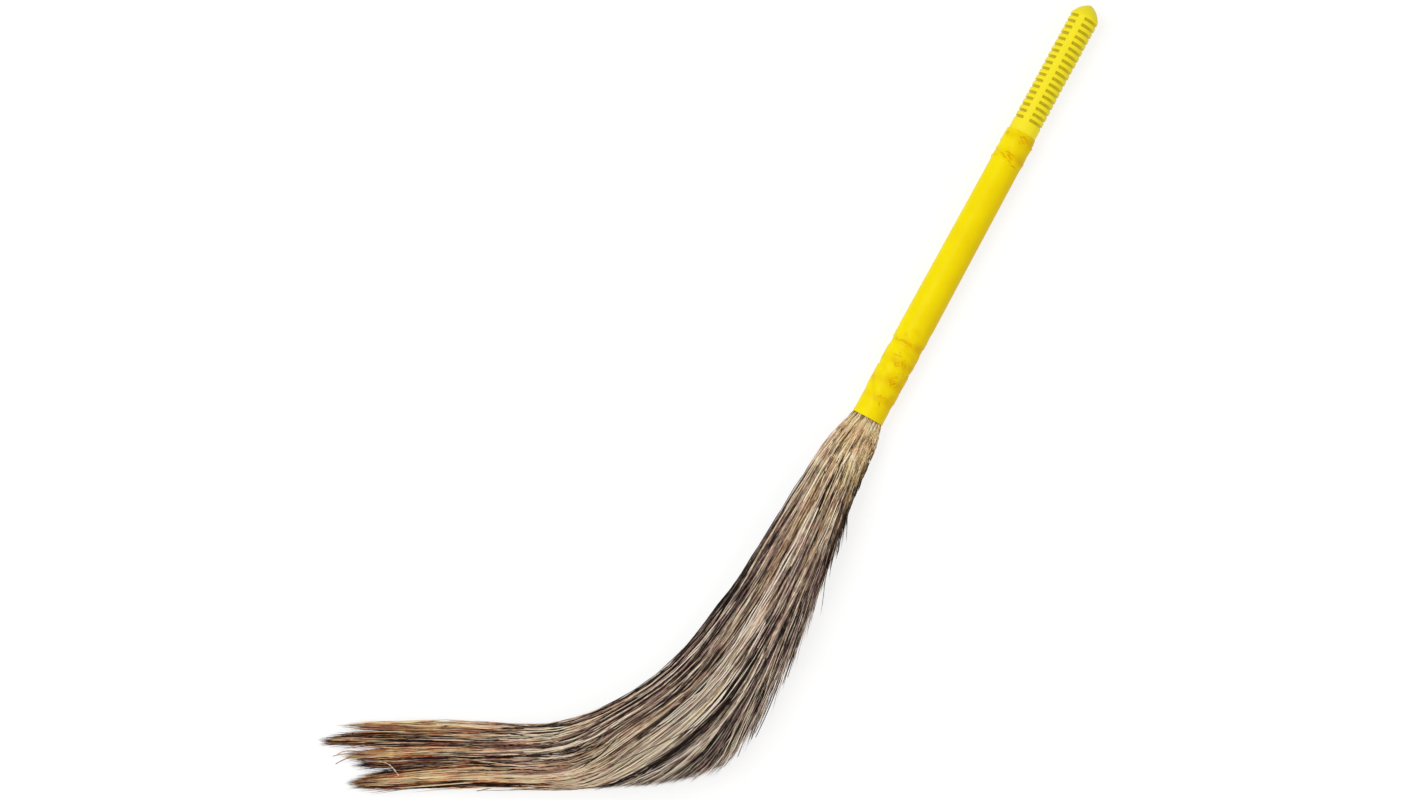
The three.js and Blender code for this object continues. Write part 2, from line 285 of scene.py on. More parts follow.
def dried_grass(name, roughness):
    """Dried grass: each strand has its own tone, from near black to straw, ruddy or tan, and
    the tips of the tufts turn golden or black. The hue drifts from pink to olive in patches of
    14 mm. Real stalks are mottled more finely, which wouldn't show, so that it is drawn at 6 mm
    along a strand and at 20 mm along the strands of a stalk."""
    own_mottle = ("seed", 6, 3, 0.17)  # what it differs by, size, detail and change of tone
    stalk_mottle = ("stalk", 20, 2, 0.14)
    drift_mm, rougher = 14, 0.1
    material, tree = new_material(name)
    value = {label: add_node(tree, "ShaderNodeAttribute", attribute_name=label).outputs["Fac"]
             for label in ("tone", "hue", "tip", "tip_tone", "length", "seed", "stalk")}
    mottles, shifts = [], []
    for label, mottle_mm, detail, change in (own_mottle, stalk_mottle):
        spot = add_node(tree, "ShaderNodeCombineXYZ", {"X": value["length"], "Y": value[label]})
        mottles.append(add_node(tree, "ShaderNodeTexNoise", {
            "Vector": spot, "Scale": scale_of(mottle_mm), "Detail": detail}))
        shifts.append(add_node(tree, "ShaderNodeMapRange", {
            "Value": mottles[-1], "From Min": 0.3, "From Max": 0.7, "To Min": -change,
            "To Max": change}))
    shift = add_node(tree, "ShaderNodeMath", dict(enumerate(shifts)), operation="ADD")
    tone, tip_tone = (add_node(tree, "ShaderNodeMath", {0: value[label], 1: shift}, operation="ADD")
                      for label in ("tone", "tip_tone"))
    ruddy, tan, golden = (add_node(tree, "ShaderNodeValToRGB", {"Fac": amount}, stops=colours)
                          for amount, colours in ((tone, RUDDY), (tone, TAN), (tip_tone, GOLDEN)))
    body = add_node(tree, "ShaderNodeMix", {
        MIX_SHARE: value["hue"], MIX_FROM: ruddy, MIX_TO: tan}, data_type="RGBA")
    blend = add_node(tree, "ShaderNodeMix", {
        MIX_SHARE: value["tip"], MIX_FROM: body.outputs[MIX_RESULT], MIX_TO: golden},
        data_type="RGBA")
    place = add_node(tree, "ShaderNodeTexCoord").outputs["Object"]
    drift = add_node(tree, "ShaderNodeTexNoise", {
        "Vector": place, "Scale": scale_of(drift_mm), "Detail": 2})
    hue, saturation = (add_node(tree, "ShaderNodeMapRange", {
        "Value": drift, "From Min": 0.35, "From Max": 0.65, "To Min": start, "To Max": stop})
        for start, stop in ((0.478, 0.506), (0.98, 0.88)))
    whole = add_node(tree, "ShaderNodeHueSaturation", {
        "Hue": hue, "Saturation": saturation, "Color": blend.outputs[MIX_RESULT]})
    finish_surface(tree, whole, relief=(mottles[0], 0.3, 0.2),
                   roughness=(mottles[0], roughness - rougher, roughness + rougher), specular=0.15)
    return material


def rough_stock(name, colour, dark, grain_mm):
    """Plain stock that the handle hides: extruded pipe, twisted jute twine or a whittled peg,
    matt, and unevenly dark in patches of its grain's size."""
    material, tree = new_material(name)
    place = add_node(tree, "ShaderNodeTexCoord").outputs["Object"]
    grain = add_node(tree, "ShaderNodeTexNoise", {
        "Vector": place, "Scale": scale_of(grain_mm), "Detail": 5})
    base = add_node(tree, "ShaderNodeMix", {
        MIX_SHARE: grain, MIX_FROM: dark, MIX_TO: colour}, data_type="RGBA")
    finish_surface(tree, base.outputs[MIX_RESULT], relief=(grain, 0.4, 0.2),
                   roughness=(grain, 0.55, 0.8), specular=0.5)
    return material


def turned_faces(rings, sides):
    """Quads between neighbouring rings of points, with the last side joined to the first."""
    ring = np.arange(len(rings) - 1)[:, None]
    side = np.arange(sides)[None, :]
    low, high = np.asarray(rings)[ring] * sides, np.asarray(rings)[ring + 1] * sides
    after = (side + 1) % sides
    corners = [low + side, low + after, high + after, high + side]
    return np.stack(corners, axis=-1).reshape(-1, len(corners))


def turned_uv(rings, sides):
    """A cell for each quad of a turned piece, one row of cells to a pair of rings."""
    row = np.arange(rings)[:, None, None]
    column = np.arange(sides)[None, :, None]
    u = np.concatenate([column, column + 1, column + 1, column], axis=2) / sides
    v = np.concatenate([row, row, row + 1, row + 1], axis=2) / rings
    u, v = np.broadcast_arrays(u, v)
    return np.stack([u, v], axis=-1).reshape(-1, 2)


def add_turned(name, along, radius, material, node, shares):
    """Adds a turned piece from the radius at each place along the handle and each turn about it,
    whose last ring is joined to its first."""
    places = along[:, None] + 0 * TURN
    points = HANDLE.point(radius * np.sin(TURN), places, radius * np.cos(TURN))
    order = list(range(len(along))) + [0]
    add_piece(name, points.reshape(-1, 3), turned_faces(order, TURN_SIDES), material, [node],
              shares, turned_uv(len(along), TURN_SIDES))


class BROOM_PG_handle(bpy.types.PropertyGroup):
    """Sizes and colours of the plastic handle"""

    slot_pitch: bpy.props.FloatProperty(
        name="Slot pitch", description="From one grip slot to the next", default=6.75 * MM,
        unit="LENGTH")
    slot_width: bpy.props.FloatProperty(
        name="Slot width", description="Width of a grip slot along the handle", default=2.8 * MM,
        unit="LENGTH")
    slot_depth: bpy.props.FloatProperty(
        name="Slot depth", description="Depth of a grip slot beside the plain strips",
        default=1.8 * MM, unit="LENGTH")
    slot_count: bpy.props.IntProperty(
        name="Slots", description="Grip slots on each side", default=18, min=1)
    strip_turn: bpy.props.FloatProperty(
        name="Strip turn", description="How far the plain strip is turned from straight up",
        default=math.radians(-17), subtype="ANGLE")
    strip_half_width: bpy.props.FloatProperty(
        name="Strip half width", description="From the middle of the plain strip to the slots' ends",
        default=math.radians(14.5), subtype="ANGLE")
    crease_height: bpy.props.FloatProperty(
        name="Crease height", description="Height of the largest creases in the film",
        default=1.0 * MM, unit="LENGTH")
    lump_height: bpy.props.FloatProperty(
        name="Lump height", description="Unevenness of the film over the bound stems",
        default=0.55 * MM, unit="LENGTH")
    grip_colour: bpy.props.FloatVectorProperty(
        name="Grip colour", description="Colour of the moulded grip cap", size=4,
        default=linear("#fbea22"), subtype="COLOR")
    # Colour of the painted shade in the grip's slots
    slot_shade_colour: bpy.props.FloatVectorProperty(
        name="Slot colour", description="Colour of the grime in the grip's slots", size=4,
        default=linear("#937b00"), subtype="COLOR")
    film_colour: bpy.props.FloatVectorProperty(
        name="Film colour", description="Colour of the film where it is thin", size=4,
        default=linear("#fff000"), subtype="COLOR")
    # The colour of thick film, which also serves as the painted shade on the film
    deep_and_shade_colour: bpy.props.FloatVectorProperty(
        name="Fold colour", description="Colour of the film in its folds and where it is thick",
        size=4, default=linear("#e8be00"), subtype="COLOR")
    seed: bpy.props.IntProperty(
        name="Seed", description="Chooses the places of the creases", default=7)


class BROOM_PG_grass(bpy.types.PropertyGroup):
    """Sizes of the grass head"""

    stalks: bpy.props.IntProperty(
        name="Stalks", description="Stalks bound into the neck", default=600, min=8)
    strands: bpy.props.IntProperty(
        name="Strands to a stalk", description="Strands that each stalk parts into", default=14,
        min=1)
    clumps: bpy.props.IntProperty(
        name="Clumps", description="Clumps that the stalks draw together into", default=90, min=1)
    rings: bpy.props.IntProperty(
        name="Rings", description="Rings of points along a strand", default=30, min=8)
    thickness: bpy.props.FloatProperty(
        name="Thickness", description="Mean radius of a strand at its root", default=0.63 * MM,
        unit="LENGTH")
    seed: bpy.props.IntProperty(
        name="Seed", description="Chooses the run and tone of every strand", default=11)


# Grip cap: its lengths and walls, and its rings of points. Those of the collar start a little
# inside the sleeve and stop a little short of the first slot.
CAP_COLLAR_MM = 13.0
CAP_IN_SLEEVE_MM = 12.0
CAP_END_LENGTH_MM = 15.0
CAP_END_TAPER = 1.38
CAP_WALL_MM = 2.4
PIPE_WALL_MM = 2.0
SHOULDER_STEP_MM = 0.3
COLLAR_RINGS = 12
COLLAR_MARGINS_MM = (1, 0.8)
BORE_RINGS = 8
DOME_RINGS = 30
DOME_FIRST_ANGLE = 0.02
INNER_DOME_RINGS = 12

# Slots of the grip cap: how soft their edges are, the rings of points at an edge, the turn over which
# they fade at the plain strip, how much shallower they get at the sides and from where to where, and
# how much painted shade they get at their full depth. The moulding swells a little along the handle.
SLOT_EDGE_MM = 0.3
SLOT_EDGE_STEPS_MM = (-0.4, -0.22, -0.05, 0.12, 0.3, 0.5)
SLOT_END_FADE = (-0.03, 0.05)
SHALLOW_PART = 0.4
SHALLOW_FROM = (math.radians(45), math.radians(85))
SLOT_PAINTED_SHADE = 0.58
SWELL_MM = 0.06
SWELL_LENGTH_MM = 9.0


def dome(radius, height, base, angles):
    """Points of a drawn-in dome as places along the handle and radii."""
    return [(base + height * math.sin(a) ** CAP_END_TAPER,
             radius * max(math.cos(a), 0) ** CAP_END_TAPER) for a in angles]


class BROOM_OT_grip_cap(bpy.types.Operator):
    """Models the moulded grip cap: a domed end, two rows of slots and a plain strip between them"""

    bl_idname = "broom.grip_cap"
    bl_label = "Grip cap"

    def execute(self, context):
        sizes = context.scene.broom_handle
        pitch, width, slot_depth = (
            size / MM for size in (sizes.slot_pitch, sizes.slot_width, sizes.slot_depth))
        collar_end = SLEEVE_END_MM + CAP_COLLAR_MM
        slots = [collar_end + number * pitch for number in range(sizes.slot_count)]
        outside, inside = self.profile(collar_end, slots, pitch, width)
        along, radius = np.array(outside + inside).T

        # The slots sink in between the plain strips, and less so at the sides
        from_strip = np.abs((TURN - sizes.strip_turn + math.pi / 2) % math.pi - math.pi / 2)
        starts, full = (sizes.strip_half_width + fade for fade in SLOT_END_FADE)
        sideways = smooth(starts, full, from_strip)
        shallower = 1 - SHALLOW_PART * smooth(*SHALLOW_FROM, from_strip)
        sunk = np.zeros(len(along))
        for slot in slots:
            end = slot + width
            sunk += (smooth(slot - SLOT_EDGE_MM, slot + SLOT_EDGE_MM, along)
                     * smooth(end + SLOT_EDGE_MM, end - SLOT_EDGE_MM, along))
        is_outside = np.arange(len(along)) < len(outside)
        depth = (sunk * is_outside)[:, None] * sideways * shallower
        swell = SWELL_MM * np.sin(along / SWELL_LENGTH_MM) * is_outside * (radius > 1)
        radius = np.maximum((radius + swell)[:, None] - depth * slot_depth, POINT_RADIUS_MM)
        material = moulded_plastic(
            "polypropylene moulded half-matt yellow", sizes.grip_colour, sizes.slot_shade_colour,
            roughness=0.42)
        # The slots get painted shade in step with how deep they sink
        add_turned("grip_cap_moulding", along, radius, material, "grip_cap",
                   {"painted_slot_shade": depth * SLOT_PAINTED_SHADE})
        return {"FINISHED"}

    @staticmethod
    def profile(collar_end, slots, pitch, width):
        """Places along the handle and radii of the cap's outside, from its shoulder up to its
        tip, and of its inside, from the tip down and round the spigot's end."""
        cap_radius = HANDLE.radius("grip_cap")
        spigot_radius = cap_radius - PIPE_WALL_MM
        bore = spigot_radius - CAP_WALL_MM
        shoulder = SLEEVE_END_MM - CAP_IN_SLEEVE_MM
        base = CAP_END_MM - CAP_END_LENGTH_MM
        outside = [(shoulder, cap_radius), (shoulder + SHOULDER_STEP_MM, cap_radius)]
        early, short = COLLAR_MARGINS_MM
        for place in np.linspace(SLEEVE_END_MM - early, collar_end - short, COLLAR_RINGS):
            outside.append((place, cap_radius))
        steps = [*SLOT_EDGE_STEPS_MM, width / 2]
        steps += [width - step for step in reversed(SLOT_EDGE_STEPS_MM)] + [(width + pitch) / 2]
        for slot in slots:
            outside += [(slot + step, cap_radius) for step in steps if slot + step < base]
        angles = np.linspace(DOME_FIRST_ANGLE, math.pi / 2, DOME_RINGS)
        outside += dome(cap_radius, CAP_END_LENGTH_MM, base, angles)
        height = CAP_END_LENGTH_MM * bore / cap_radius
        inner_base = CAP_END_MM - CAP_WALL_MM - height
        inside = dome(bore, height, inner_base, np.linspace(math.pi / 2, 0, INNER_DOME_RINGS))
        for place in np.linspace(inner_base, CAP_START_MM, BORE_RINGS)[1:]:
            inside.append((place, bore))
        for place in (CAP_START_MM, shoulder - SHOULDER_STEP_MM, shoulder):
            inside.append((place, spigot_radius))
        return outside, inside


# Film sleeve: its radius at places along the handle, before its creases and lumps, and where its
# part over the bound stems ends and its creased upper end starts
FILM_MM = 0.4
SLEEVE_PROFILE_MM = [
    (0, 16.3), (6, 16.1), (14, 16.0), (24, 16.1), (31, 16.85), (40, 16.1), (50, 16.8), (59, 16.1),
    (68, 16.8), (76, 16.3), (82, 16.1), (88, 16.8), (97, 16.5), (104, 16.6), (200, 15.95),
    (285, 15.45), (288, 15.7), (294, 15.8), (299, 15.35), (305, 15.3), (309, 15.7), (316, 15.65),
    (319, 15.4),
]
SLEEVE_END_RADIUS_MM = 15.2
BOUND_END_MM = 112
TOP_START_MM = 282
SMOOTH_STEP_MM = 3.0
FINE_STEP_MM = 0.45
INNER_STEP = 8
ROUNDING_STEPS = 9
BINDINGS_MM = (31, 50, 68, 88)
BINDING_REACH_MM = 5
DIP_BETWEEN_BINDINGS_MM = 2
# Hollows between the bindings, which get painted shade, and how far it reaches
SHADED_HOLLOWS_MM = (22, 40, 62, 82, 295, 316)
HOLLOW_REACH_MM = 4

# Lumps of the film: how many waves make them, the most of them round the handle, how fast they
# turn along it in radians to a millimetre, what evens out their sum, and where they show
LUMP_WAVES = 30
LUMP_MOST_ROUND = 8
LUMP_RATES = (0.1, 0.6)
LUMP_STARTS = (0, 6.3)
LUMP_EVENING = 5.5
LUMPS_FADE_IN_MM = (8, 28)
LUMPS_FADE_OUT_MM = (BOUND_END_MM, 92)
TOP_LUMPS_FADE_IN_MM = (TOP_START_MM, 290)
TOP_LUMPS = 0.4

# Creases that the photograph shows, in groups: place along the handle and its spread in
# millimetres, turn about the handle and its spread in degrees, number, lean and half length
CREASE_GROUPS = [
    (82, 1.0, -22, 18, 7, 0.0, 6.0),
    (67, 1.5, -22, 10, 4, 0.2, 4.5),
    (63, 2.5, 12, 12, 9, 0.8, 3.2),
    (51, 2.0, 30, 8, 5, 0.9, 2.8),
    (43, 3.5, 20, 14, 12, 0.8, 3.8),
    (21, 3.0, 7, 8, 5, 0.7, 2.8),
    (315, 2.2, 14, 16, 8, 0.1, 4.0),
    (292, 3.2, -6, 22, 12, 0.1, 4.5),
]

# How creases vary within a group, and their shape: a bent ridge with a trough beside it
CREASE_LEAN_SPREAD = 0.15
CREASE_LENGTHS = (0.6, 1.3)
CREASE_STRENGTHS = (0.6, 1.1)
CREASE_BEND = 0.03
CREASE_RIDGE_MM = 0.8
CREASE_TROUGH_MM = 0.9
CREASE_TROUGH_OFF_MM = 1.6
CREASE_TROUGH_DEPTH = 0.9
CREASE_LIMIT = 1.3

# Creases on the sides that the photograph doesn't show. Every third is at the upper end.
UNSEEN_CREASES = 70
UNSEEN_AT_TOP = 3
UNSEEN_BOUND_MM = (20, 90)
UNSEEN_TOP_MM = (288, 318)
UNSEEN_TURNS = (math.radians(60), math.radians(300))
UNSEEN_LEAN_SPREAD = 0.7
UNSEEN_LENGTHS_MM = (2.5, 6)
UNSEEN_STRENGTHS = (0.5, 1.0)

# Where the film is deeper in colour: a little everywhere as its own tint, and as painted shade on the
# side away from the key lamp and in hollows, folds and lumps
SHADED_SIDE = math.radians(15)
DEEP_BASE = 0.16
PAINTED_SHADE_ON_SIDE = 0.56
PAINTED_SHADE_IN_HOLLOW = 0.24
PAINTED_SHADE_IN_FOLD = 0.8
PAINTED_SHADE_IN_LUMP = 0.35


def steps_between(spans):
    """Places along the handle, from (start, end, step) spans that follow each other."""
    parts = [np.arange(start, end - step / 4, step) for start, end, step in spans]
    return np.concatenate(parts + [[spans[-1][1]]])


class BROOM_OT_sleeve(bpy.types.Operator):
    """Models the film sleeve, shrunk tight over the bindings and creased at both ends"""

    bl_idname = "broom.sleeve"
    bl_label = "Film sleeve"

    def execute(self, context):
        sizes = context.scene.broom_handle
        rng = np.random.default_rng(sizes.seed)
        along = steps_between([(0, BOUND_END_MM, FINE_STEP_MM),
                               (BOUND_END_MM, TOP_START_MM, SMOOTH_STEP_MM),
                               (TOP_START_MM, SLEEVE_END_MM, FINE_STEP_MM)])
        base = self.base_radius(along)
        creased = self.creases(along, rng)
        uneven = self.lumps(along, rng) * sizes.lump_height / MM
        outer = base[:, None] + creased * sizes.crease_height / MM + uneven
        at_binding = sum(hump(along, place, BINDING_REACH_MM) for place in BINDINGS_MM)
        dip = DIP_BETWEEN_BINDINGS_MM * (1 - np.minimum(at_binding, 1))
        covering = HANDLE.radius(TWINES[0]) + FILM_MM - dip
        outer = np.clip(outer, covering[:, None], AXIS_HEIGHT_MM)

        # The hidden inner wall has fewer rings, each as low as the wall is near it
        inner = np.minimum(base[:, None] - FILM_MM, outer - FILM_MM / 2)
        kept = np.append(np.arange(0, len(along) - 1, INNER_STEP), len(along) - 1)
        near = [slice(max(ring - INNER_STEP, 0), ring + INNER_STEP + 1) for ring in kept]
        inner = np.array([inner[rings].min(axis=0) for rings in near])

        material = shrunk_film("PVC film heat-shrunk half-glossy yellow", sizes.film_colour,
                               sizes.deep_and_shade_colour, roughness=0.32)
        # Painted shade on the film, over a little deeper yellow everywhere
        tint_and_painted_shade = self.film_tint_and_painted_shade(along, creased, uneven)
        add_turned("shrink_sleeve_film", np.concatenate([along, along[kept][::-1]]),
                   np.concatenate([outer, inner[::-1]]), material, "shrink_sleeve",
                   {"tint_and_painted_shade": np.concatenate([tint_and_painted_shade, 0 * inner])})
        return {"FINISHED"}

    @staticmethod
    def base_radius(along):
        """Radius at each place along, on a rounded profile that is as proud as the CAD sleeve."""
        places, radii = zip(*SLEEVE_PROFILE_MM, (SLEEVE_END_MM, SLEEVE_END_RADIUS_MM))
        proud = HANDLE.radius("shrink_sleeve") - max(radii)
        even = np.arange(0, SLEEVE_END_MM + 1, 1.0)
        kernel = np.hanning(ROUNDING_STEPS)
        padded = np.pad(np.interp(even, places, radii), ROUNDING_STEPS // 2, mode="edge")
        rounded = np.convolve(padded, kernel / kernel.sum(), mode="valid")
        return np.interp(along, even, rounded) + proud

    @staticmethod
    def lumps(along, rng):
        """Unevenness over the bound stems and at the upper end, from waves that run every way."""
        lumps = np.zeros((len(along), TURN_SIDES))
        for _ in range(LUMP_WAVES):
            waves = rng.integers(-LUMP_MOST_ROUND, LUMP_MOST_ROUND + 1)
            rate = rng.uniform(*LUMP_RATES)
            start = rng.uniform(*LUMP_STARTS)
            lumps += np.sin(waves * TURN + rate * along[:, None] + start) / LUMP_EVENING
        bound = smooth(*LUMPS_FADE_IN_MM, along) * smooth(*LUMPS_FADE_OUT_MM, along)
        top = smooth(*TOP_LUMPS_FADE_IN_MM, along)
        return lumps * (bound + TOP_LUMPS * top)[:, None]

    @staticmethod
    def film_tint_and_painted_shade(along, creased, uneven):
        """How deep the film's yellow is: a little everywhere, and with painted shade on the side away
        from the key lamp, in hollows, in the troughs of folds and in the low parts of lumps.
        """
        between = sum(hump(along, place, HOLLOW_REACH_MM) for place in SHADED_HOLLOWS_MM)
        side = (1 + np.sin(TURN - SHADED_SIDE)) / 2
        in_hollow = between[:, None] * (PAINTED_SHADE_IN_HOLLOW + PAINTED_SHADE_IN_HOLLOW * side)
        golden = DEEP_BASE + PAINTED_SHADE_ON_SIDE * side + in_hollow
        in_fold = np.clip(-creased, 0, 1) * PAINTED_SHADE_IN_FOLD
        return np.clip(golden + in_fold + np.clip(-uneven, 0, 1) * PAINTED_SHADE_IN_LUMP, 0, 1)

    @staticmethod
    def creases(along, rng):
        """Heights of the creases, about 1 on their ridges, at each place along and turn about it."""
        radius = HANDLE.radius("shrink_sleeve")
        rows = []
        for place, spread, angle, angle_spread, number, lean, half_length in CREASE_GROUPS:
            for _ in range(number):
                rows.append((rng.normal(place, spread), math.radians(rng.normal(angle, angle_spread)),
                             rng.choice((-1, 1)) * lean + rng.normal(0, CREASE_LEAN_SPREAD),
                             half_length * rng.uniform(*CREASE_LENGTHS),
                             rng.uniform(*CREASE_STRENGTHS)))
        for number in range(UNSEEN_CREASES):
            span = UNSEEN_BOUND_MM if number % UNSEEN_AT_TOP else UNSEEN_TOP_MM
            rows.append((rng.uniform(*span), rng.uniform(*UNSEEN_TURNS),
                         rng.normal(0, UNSEEN_LEAN_SPREAD), rng.uniform(*UNSEEN_LENGTHS_MM),
                         rng.uniform(*UNSEEN_STRENGTHS)))
        height = np.zeros((len(along), TURN_SIDES))
        for place, angle, lean, half_length, strength in rows:
            sideways = ((TURN - angle + math.pi) % FULL_TURN - math.pi) * radius
            lengthways = along[:, None] - place
            forward = sideways * math.cos(lean) + lengthways * math.sin(lean)
            bend = CREASE_BEND * forward**2
            off = lengthways * math.cos(lean) - sideways * math.sin(lean) + bend
            window = np.clip(1 - (forward / half_length) ** 2, 0, 1) ** 2
            trough = CREASE_TROUGH_DEPTH * hump(off, CREASE_TROUGH_OFF_MM, CREASE_TROUGH_MM)
            height += strength * window * (hump(off, 0, CREASE_RIDGE_MM) - trough)
        return np.clip(height, -CREASE_LIMIT, CREASE_LIMIT)


# The head seen from above, in millimetres left of the neck and below it, from neck to tips: the
# inner edge, the outer edge of what runs on to the tips, the edge that the heel's outermost
# strands head for, and the head's height.
HEAD_STATIONS_MM = [
    (27, 6, 11, 17, -8.5, 27.5, 34),
    (46, 29, 24, 39, 0, 50, 37),
    (69, 64, 41, 76, 11, 88, 41),
    (107, 123, 71, 138, 26, 154, 43),
    (146, 183, 104, 200, 46, 232, 43),
    (195, 243, 151, 273, 63, 321, 43),
    (249, 283, 211, 328, 66, 404, 42),
    (308, 303, 276, 364, 205, 438, 39),
    (368, 305, 354, 368, 340, 431, 34),
    (438, 303, 434, 370, 430, 437, 27),
    (523, 307, 523, 371, 523, 435, 18),
    (578, 311, 578, 370, 578, 429, 12),
]
TAIL_SHARE = 0.5
ROOT_DEPTH_MM = 30.0
ROOT_RADIUS_MM = 13.2
NECK_RADIUS_MM = 15.2
FLOOR_GAP_MM = 0.5
HEAD_TOP_MM = 46.5

# The heel's edge, where its strands end, as millimetres below the neck and left of it, and how
# far within it all that lies above its first place counts
HEEL_EDGE_MM = [
    (12, -15), (42, -3.5), (82, 14.5), (122, 31), (162, 46), (202, 64), (242, 80), (262, 94),
    (282, 100), (302, 107), (322, 124), (342, 139), (351, 149), (360, 176), (364, 212), (367, 256),
    (369, 310), (373, 540),
]
HEEL_DOWN_MM, HEEL_LEFT_MM = zip(*HEEL_EDGE_MM)
ABOVE_HEEL_MM = 100
NOT_ZERO_MM = 0.01


def head_table():
    """The head's stations with the bound stems before them: three edges, height and the height
    of the middle, in millimetres, on the part's own axes. The neck is the second row."""
    neck = HANDLE.origin / MM
    rows = []
    for depth, radius in ((ROOT_DEPTH_MM, ROOT_RADIUS_MM), (0.0, NECK_RADIUS_MM)):
        row = []
        for side in (-1, 2 * TAIL_SHARE - 1, 1):
            edge = neck + HANDLE.along * depth + HANDLE.across * side * radius
            row += [edge.x, edge.y]
        rows.append(row + [2 * radius, AXIS_HEIGHT_MM])
    for *edges, height in HEAD_STATIONS_MM:
        row = []
        for left, down in zip(edges[0::2], edges[1::2]):
            row += [neck.x - left, neck.y - down]
        rows.append(row + [height, height / 2 + FLOOR_GAP_MM])
    return np.array(rows)


def on_curve(table, station):
    """Rows between the stations, on a smooth curve through them. The neck is station 0, and the
    last place is a little short of the last row, so that a row always follows."""
    place = np.clip(station + 1, 0, len(table) - 1.001)
    whole = np.floor(place).astype(int)
    share = (place - whole)[..., None]
    before, after = np.maximum(whole - 1, 0), np.minimum(whole + 2, len(table) - 1)
    before = np.where(whole == 1, 1, before)
    a, b, c, d = table[before], table[whole], table[whole + 1], table[after]
    bend = 2 * a - 5 * b + 4 * c - d + share * (3 * (b - c) + d - a)
    return b + share * ((c - a) + share * bend) / 2


def across_row(row, share):
    """The point in plan at a share of the way from a row's inner edge to its heel edge."""
    inner = (share - TAIL_SHARE) * (share - 1) / TAIL_SHARE
    middle = share * (share - 1) / (TAIL_SHARE * (TAIL_SHARE - 1))
    outer = share * (share - TAIL_SHARE) / (1 - TAIL_SHARE)
    return (row[..., 0:2] * inner[..., None] + row[..., 2:4] * middle[..., None]
            + row[..., 4:6] * outer[..., None])


def within_edge(plan):
    """How far places in plan lie within the heel's edge, in millimetres, and 0 outside it."""
    left = HANDLE.origin.x / MM - plan[..., 0]
    down = HANDLE.origin.y / MM - plan[..., 1]
    sideways = np.maximum(left - np.interp(down, HEEL_DOWN_MM, HEEL_LEFT_MM), 0)
    upwards = np.maximum(np.interp(left, HEEL_LEFT_MM, HEEL_DOWN_MM) - down, 0)
    within = sideways * upwards / np.hypot(sideways + NOT_ZERO_MM, upwards)
    return np.where(down > HEEL_DOWN_MM[0], within, ABOVE_HEEL_MM)


def leaving_station(station, plan):
    """The station at which each strand's path, in plan, first passes the heel's edge."""
    gone = within_edge(plan) == 0
    return np.where(gone.any(axis=1), station[gone.argmax(axis=1)], station[-1])


def sunflower(rng, count, radius, turn, jitter):
    """Points spread evenly over a disc, each a little out of place."""
    number = np.arange(count)
    angle = number * math.pi * (3 - math.sqrt(5)) + turn
    reach = np.sqrt((number + 0.5) / count) * radius
    points = np.stack([np.cos(angle), np.sin(angle)], axis=1) * reach[:, None]
    return points + rng.normal(0, jitter, (count, 2))


# Tufts at the tips, by their shares of what runs on to the tips: from, to, middle, reach in
# stations, and tone
TUFTS = [
    (0.0, 0.15, 0.03, 11.2, 0.66),
    (0.15, 0.35, 0.26, 11.5, 0.22),
    (0.35, 0.54, 0.53, 11.15, 0.7),
    (0.54, 0.64, 0.68, 11.0, 0.14),
    (0.64, 0.92, 0.955, 11.05, 0.52),
    (0.92, 1.0, 1.045, 10.8, 0.1),
]
TUFT_BLUR = 0.012

# Discs that fill the bundle, as shares of its radius: radius, turn and jitter of the points
STALK_DISC = (0.97, 0.0, 0.012)
CLUMP_DISC = (0.95, 1.0, 0.03)
STALK_SPREAD = 0.05
BUNDLE_EDGE = 0.965
LAST_SHARE = 0.9999

# Wandering across the bundle: the part that goes far, how far it goes and how far the rest
# does, how fast in radians to a station, and where it starts and stops
DRIFT = (0.3, 0.12, 0.025)
DRIFT_RATES = (0.4, 1.3)
WANDER = (0.4, 0.07, 0.02)
WANDER_RATE = 0.7
WANDER_FROM = (0.0, 2.0)
WANDER_TO = (8.5, 10.5)

# Waves of clumps, stalks and strands: size in millimetres, and the least and most radians to a
# station
WAVES_MM = ((1.2, 0.5, 1.1), (0.8, 0.8, 2.0), (0.8, 1.2, 3.2))
WAVES_GROW = (0.0, 3.5)
SIDE_WAVES_AT_NECK = 0.25
RISE_WAVES_AT_NECK = 0.35

# How far a stalk's strands stand apart and how far clumps draw in, as stations and amounts
OPENING = ((-1, 0, 2.5, 4.5, 12), (0.3, 0.42, 0.68, 1.0, 1.1))
DRAWING_IN = ((-1, 0.4, 2.5, 4, 6, 9, 12), (0, 0.02, 0.08, 0.12, 0.16, 0.16, 0.2))
DRAWING_IN_RANGE = (0.5, 1.4)

# What runs on to the tips is rounded off on its own, on sections whose thickness, squared, is at
# least these, and then gathers into tufts, which are narrower and lower
ROUNDED_OFF = (6.0, 8.4)
LEAST_WHOLE_SIDE = 0.05
LEAST_TAIL_SIDE = 0.03
GATHERED = (9.3, 11.4)
GATHERED_NARROWER = 0.55
GATHERED_LOWER = 0.4

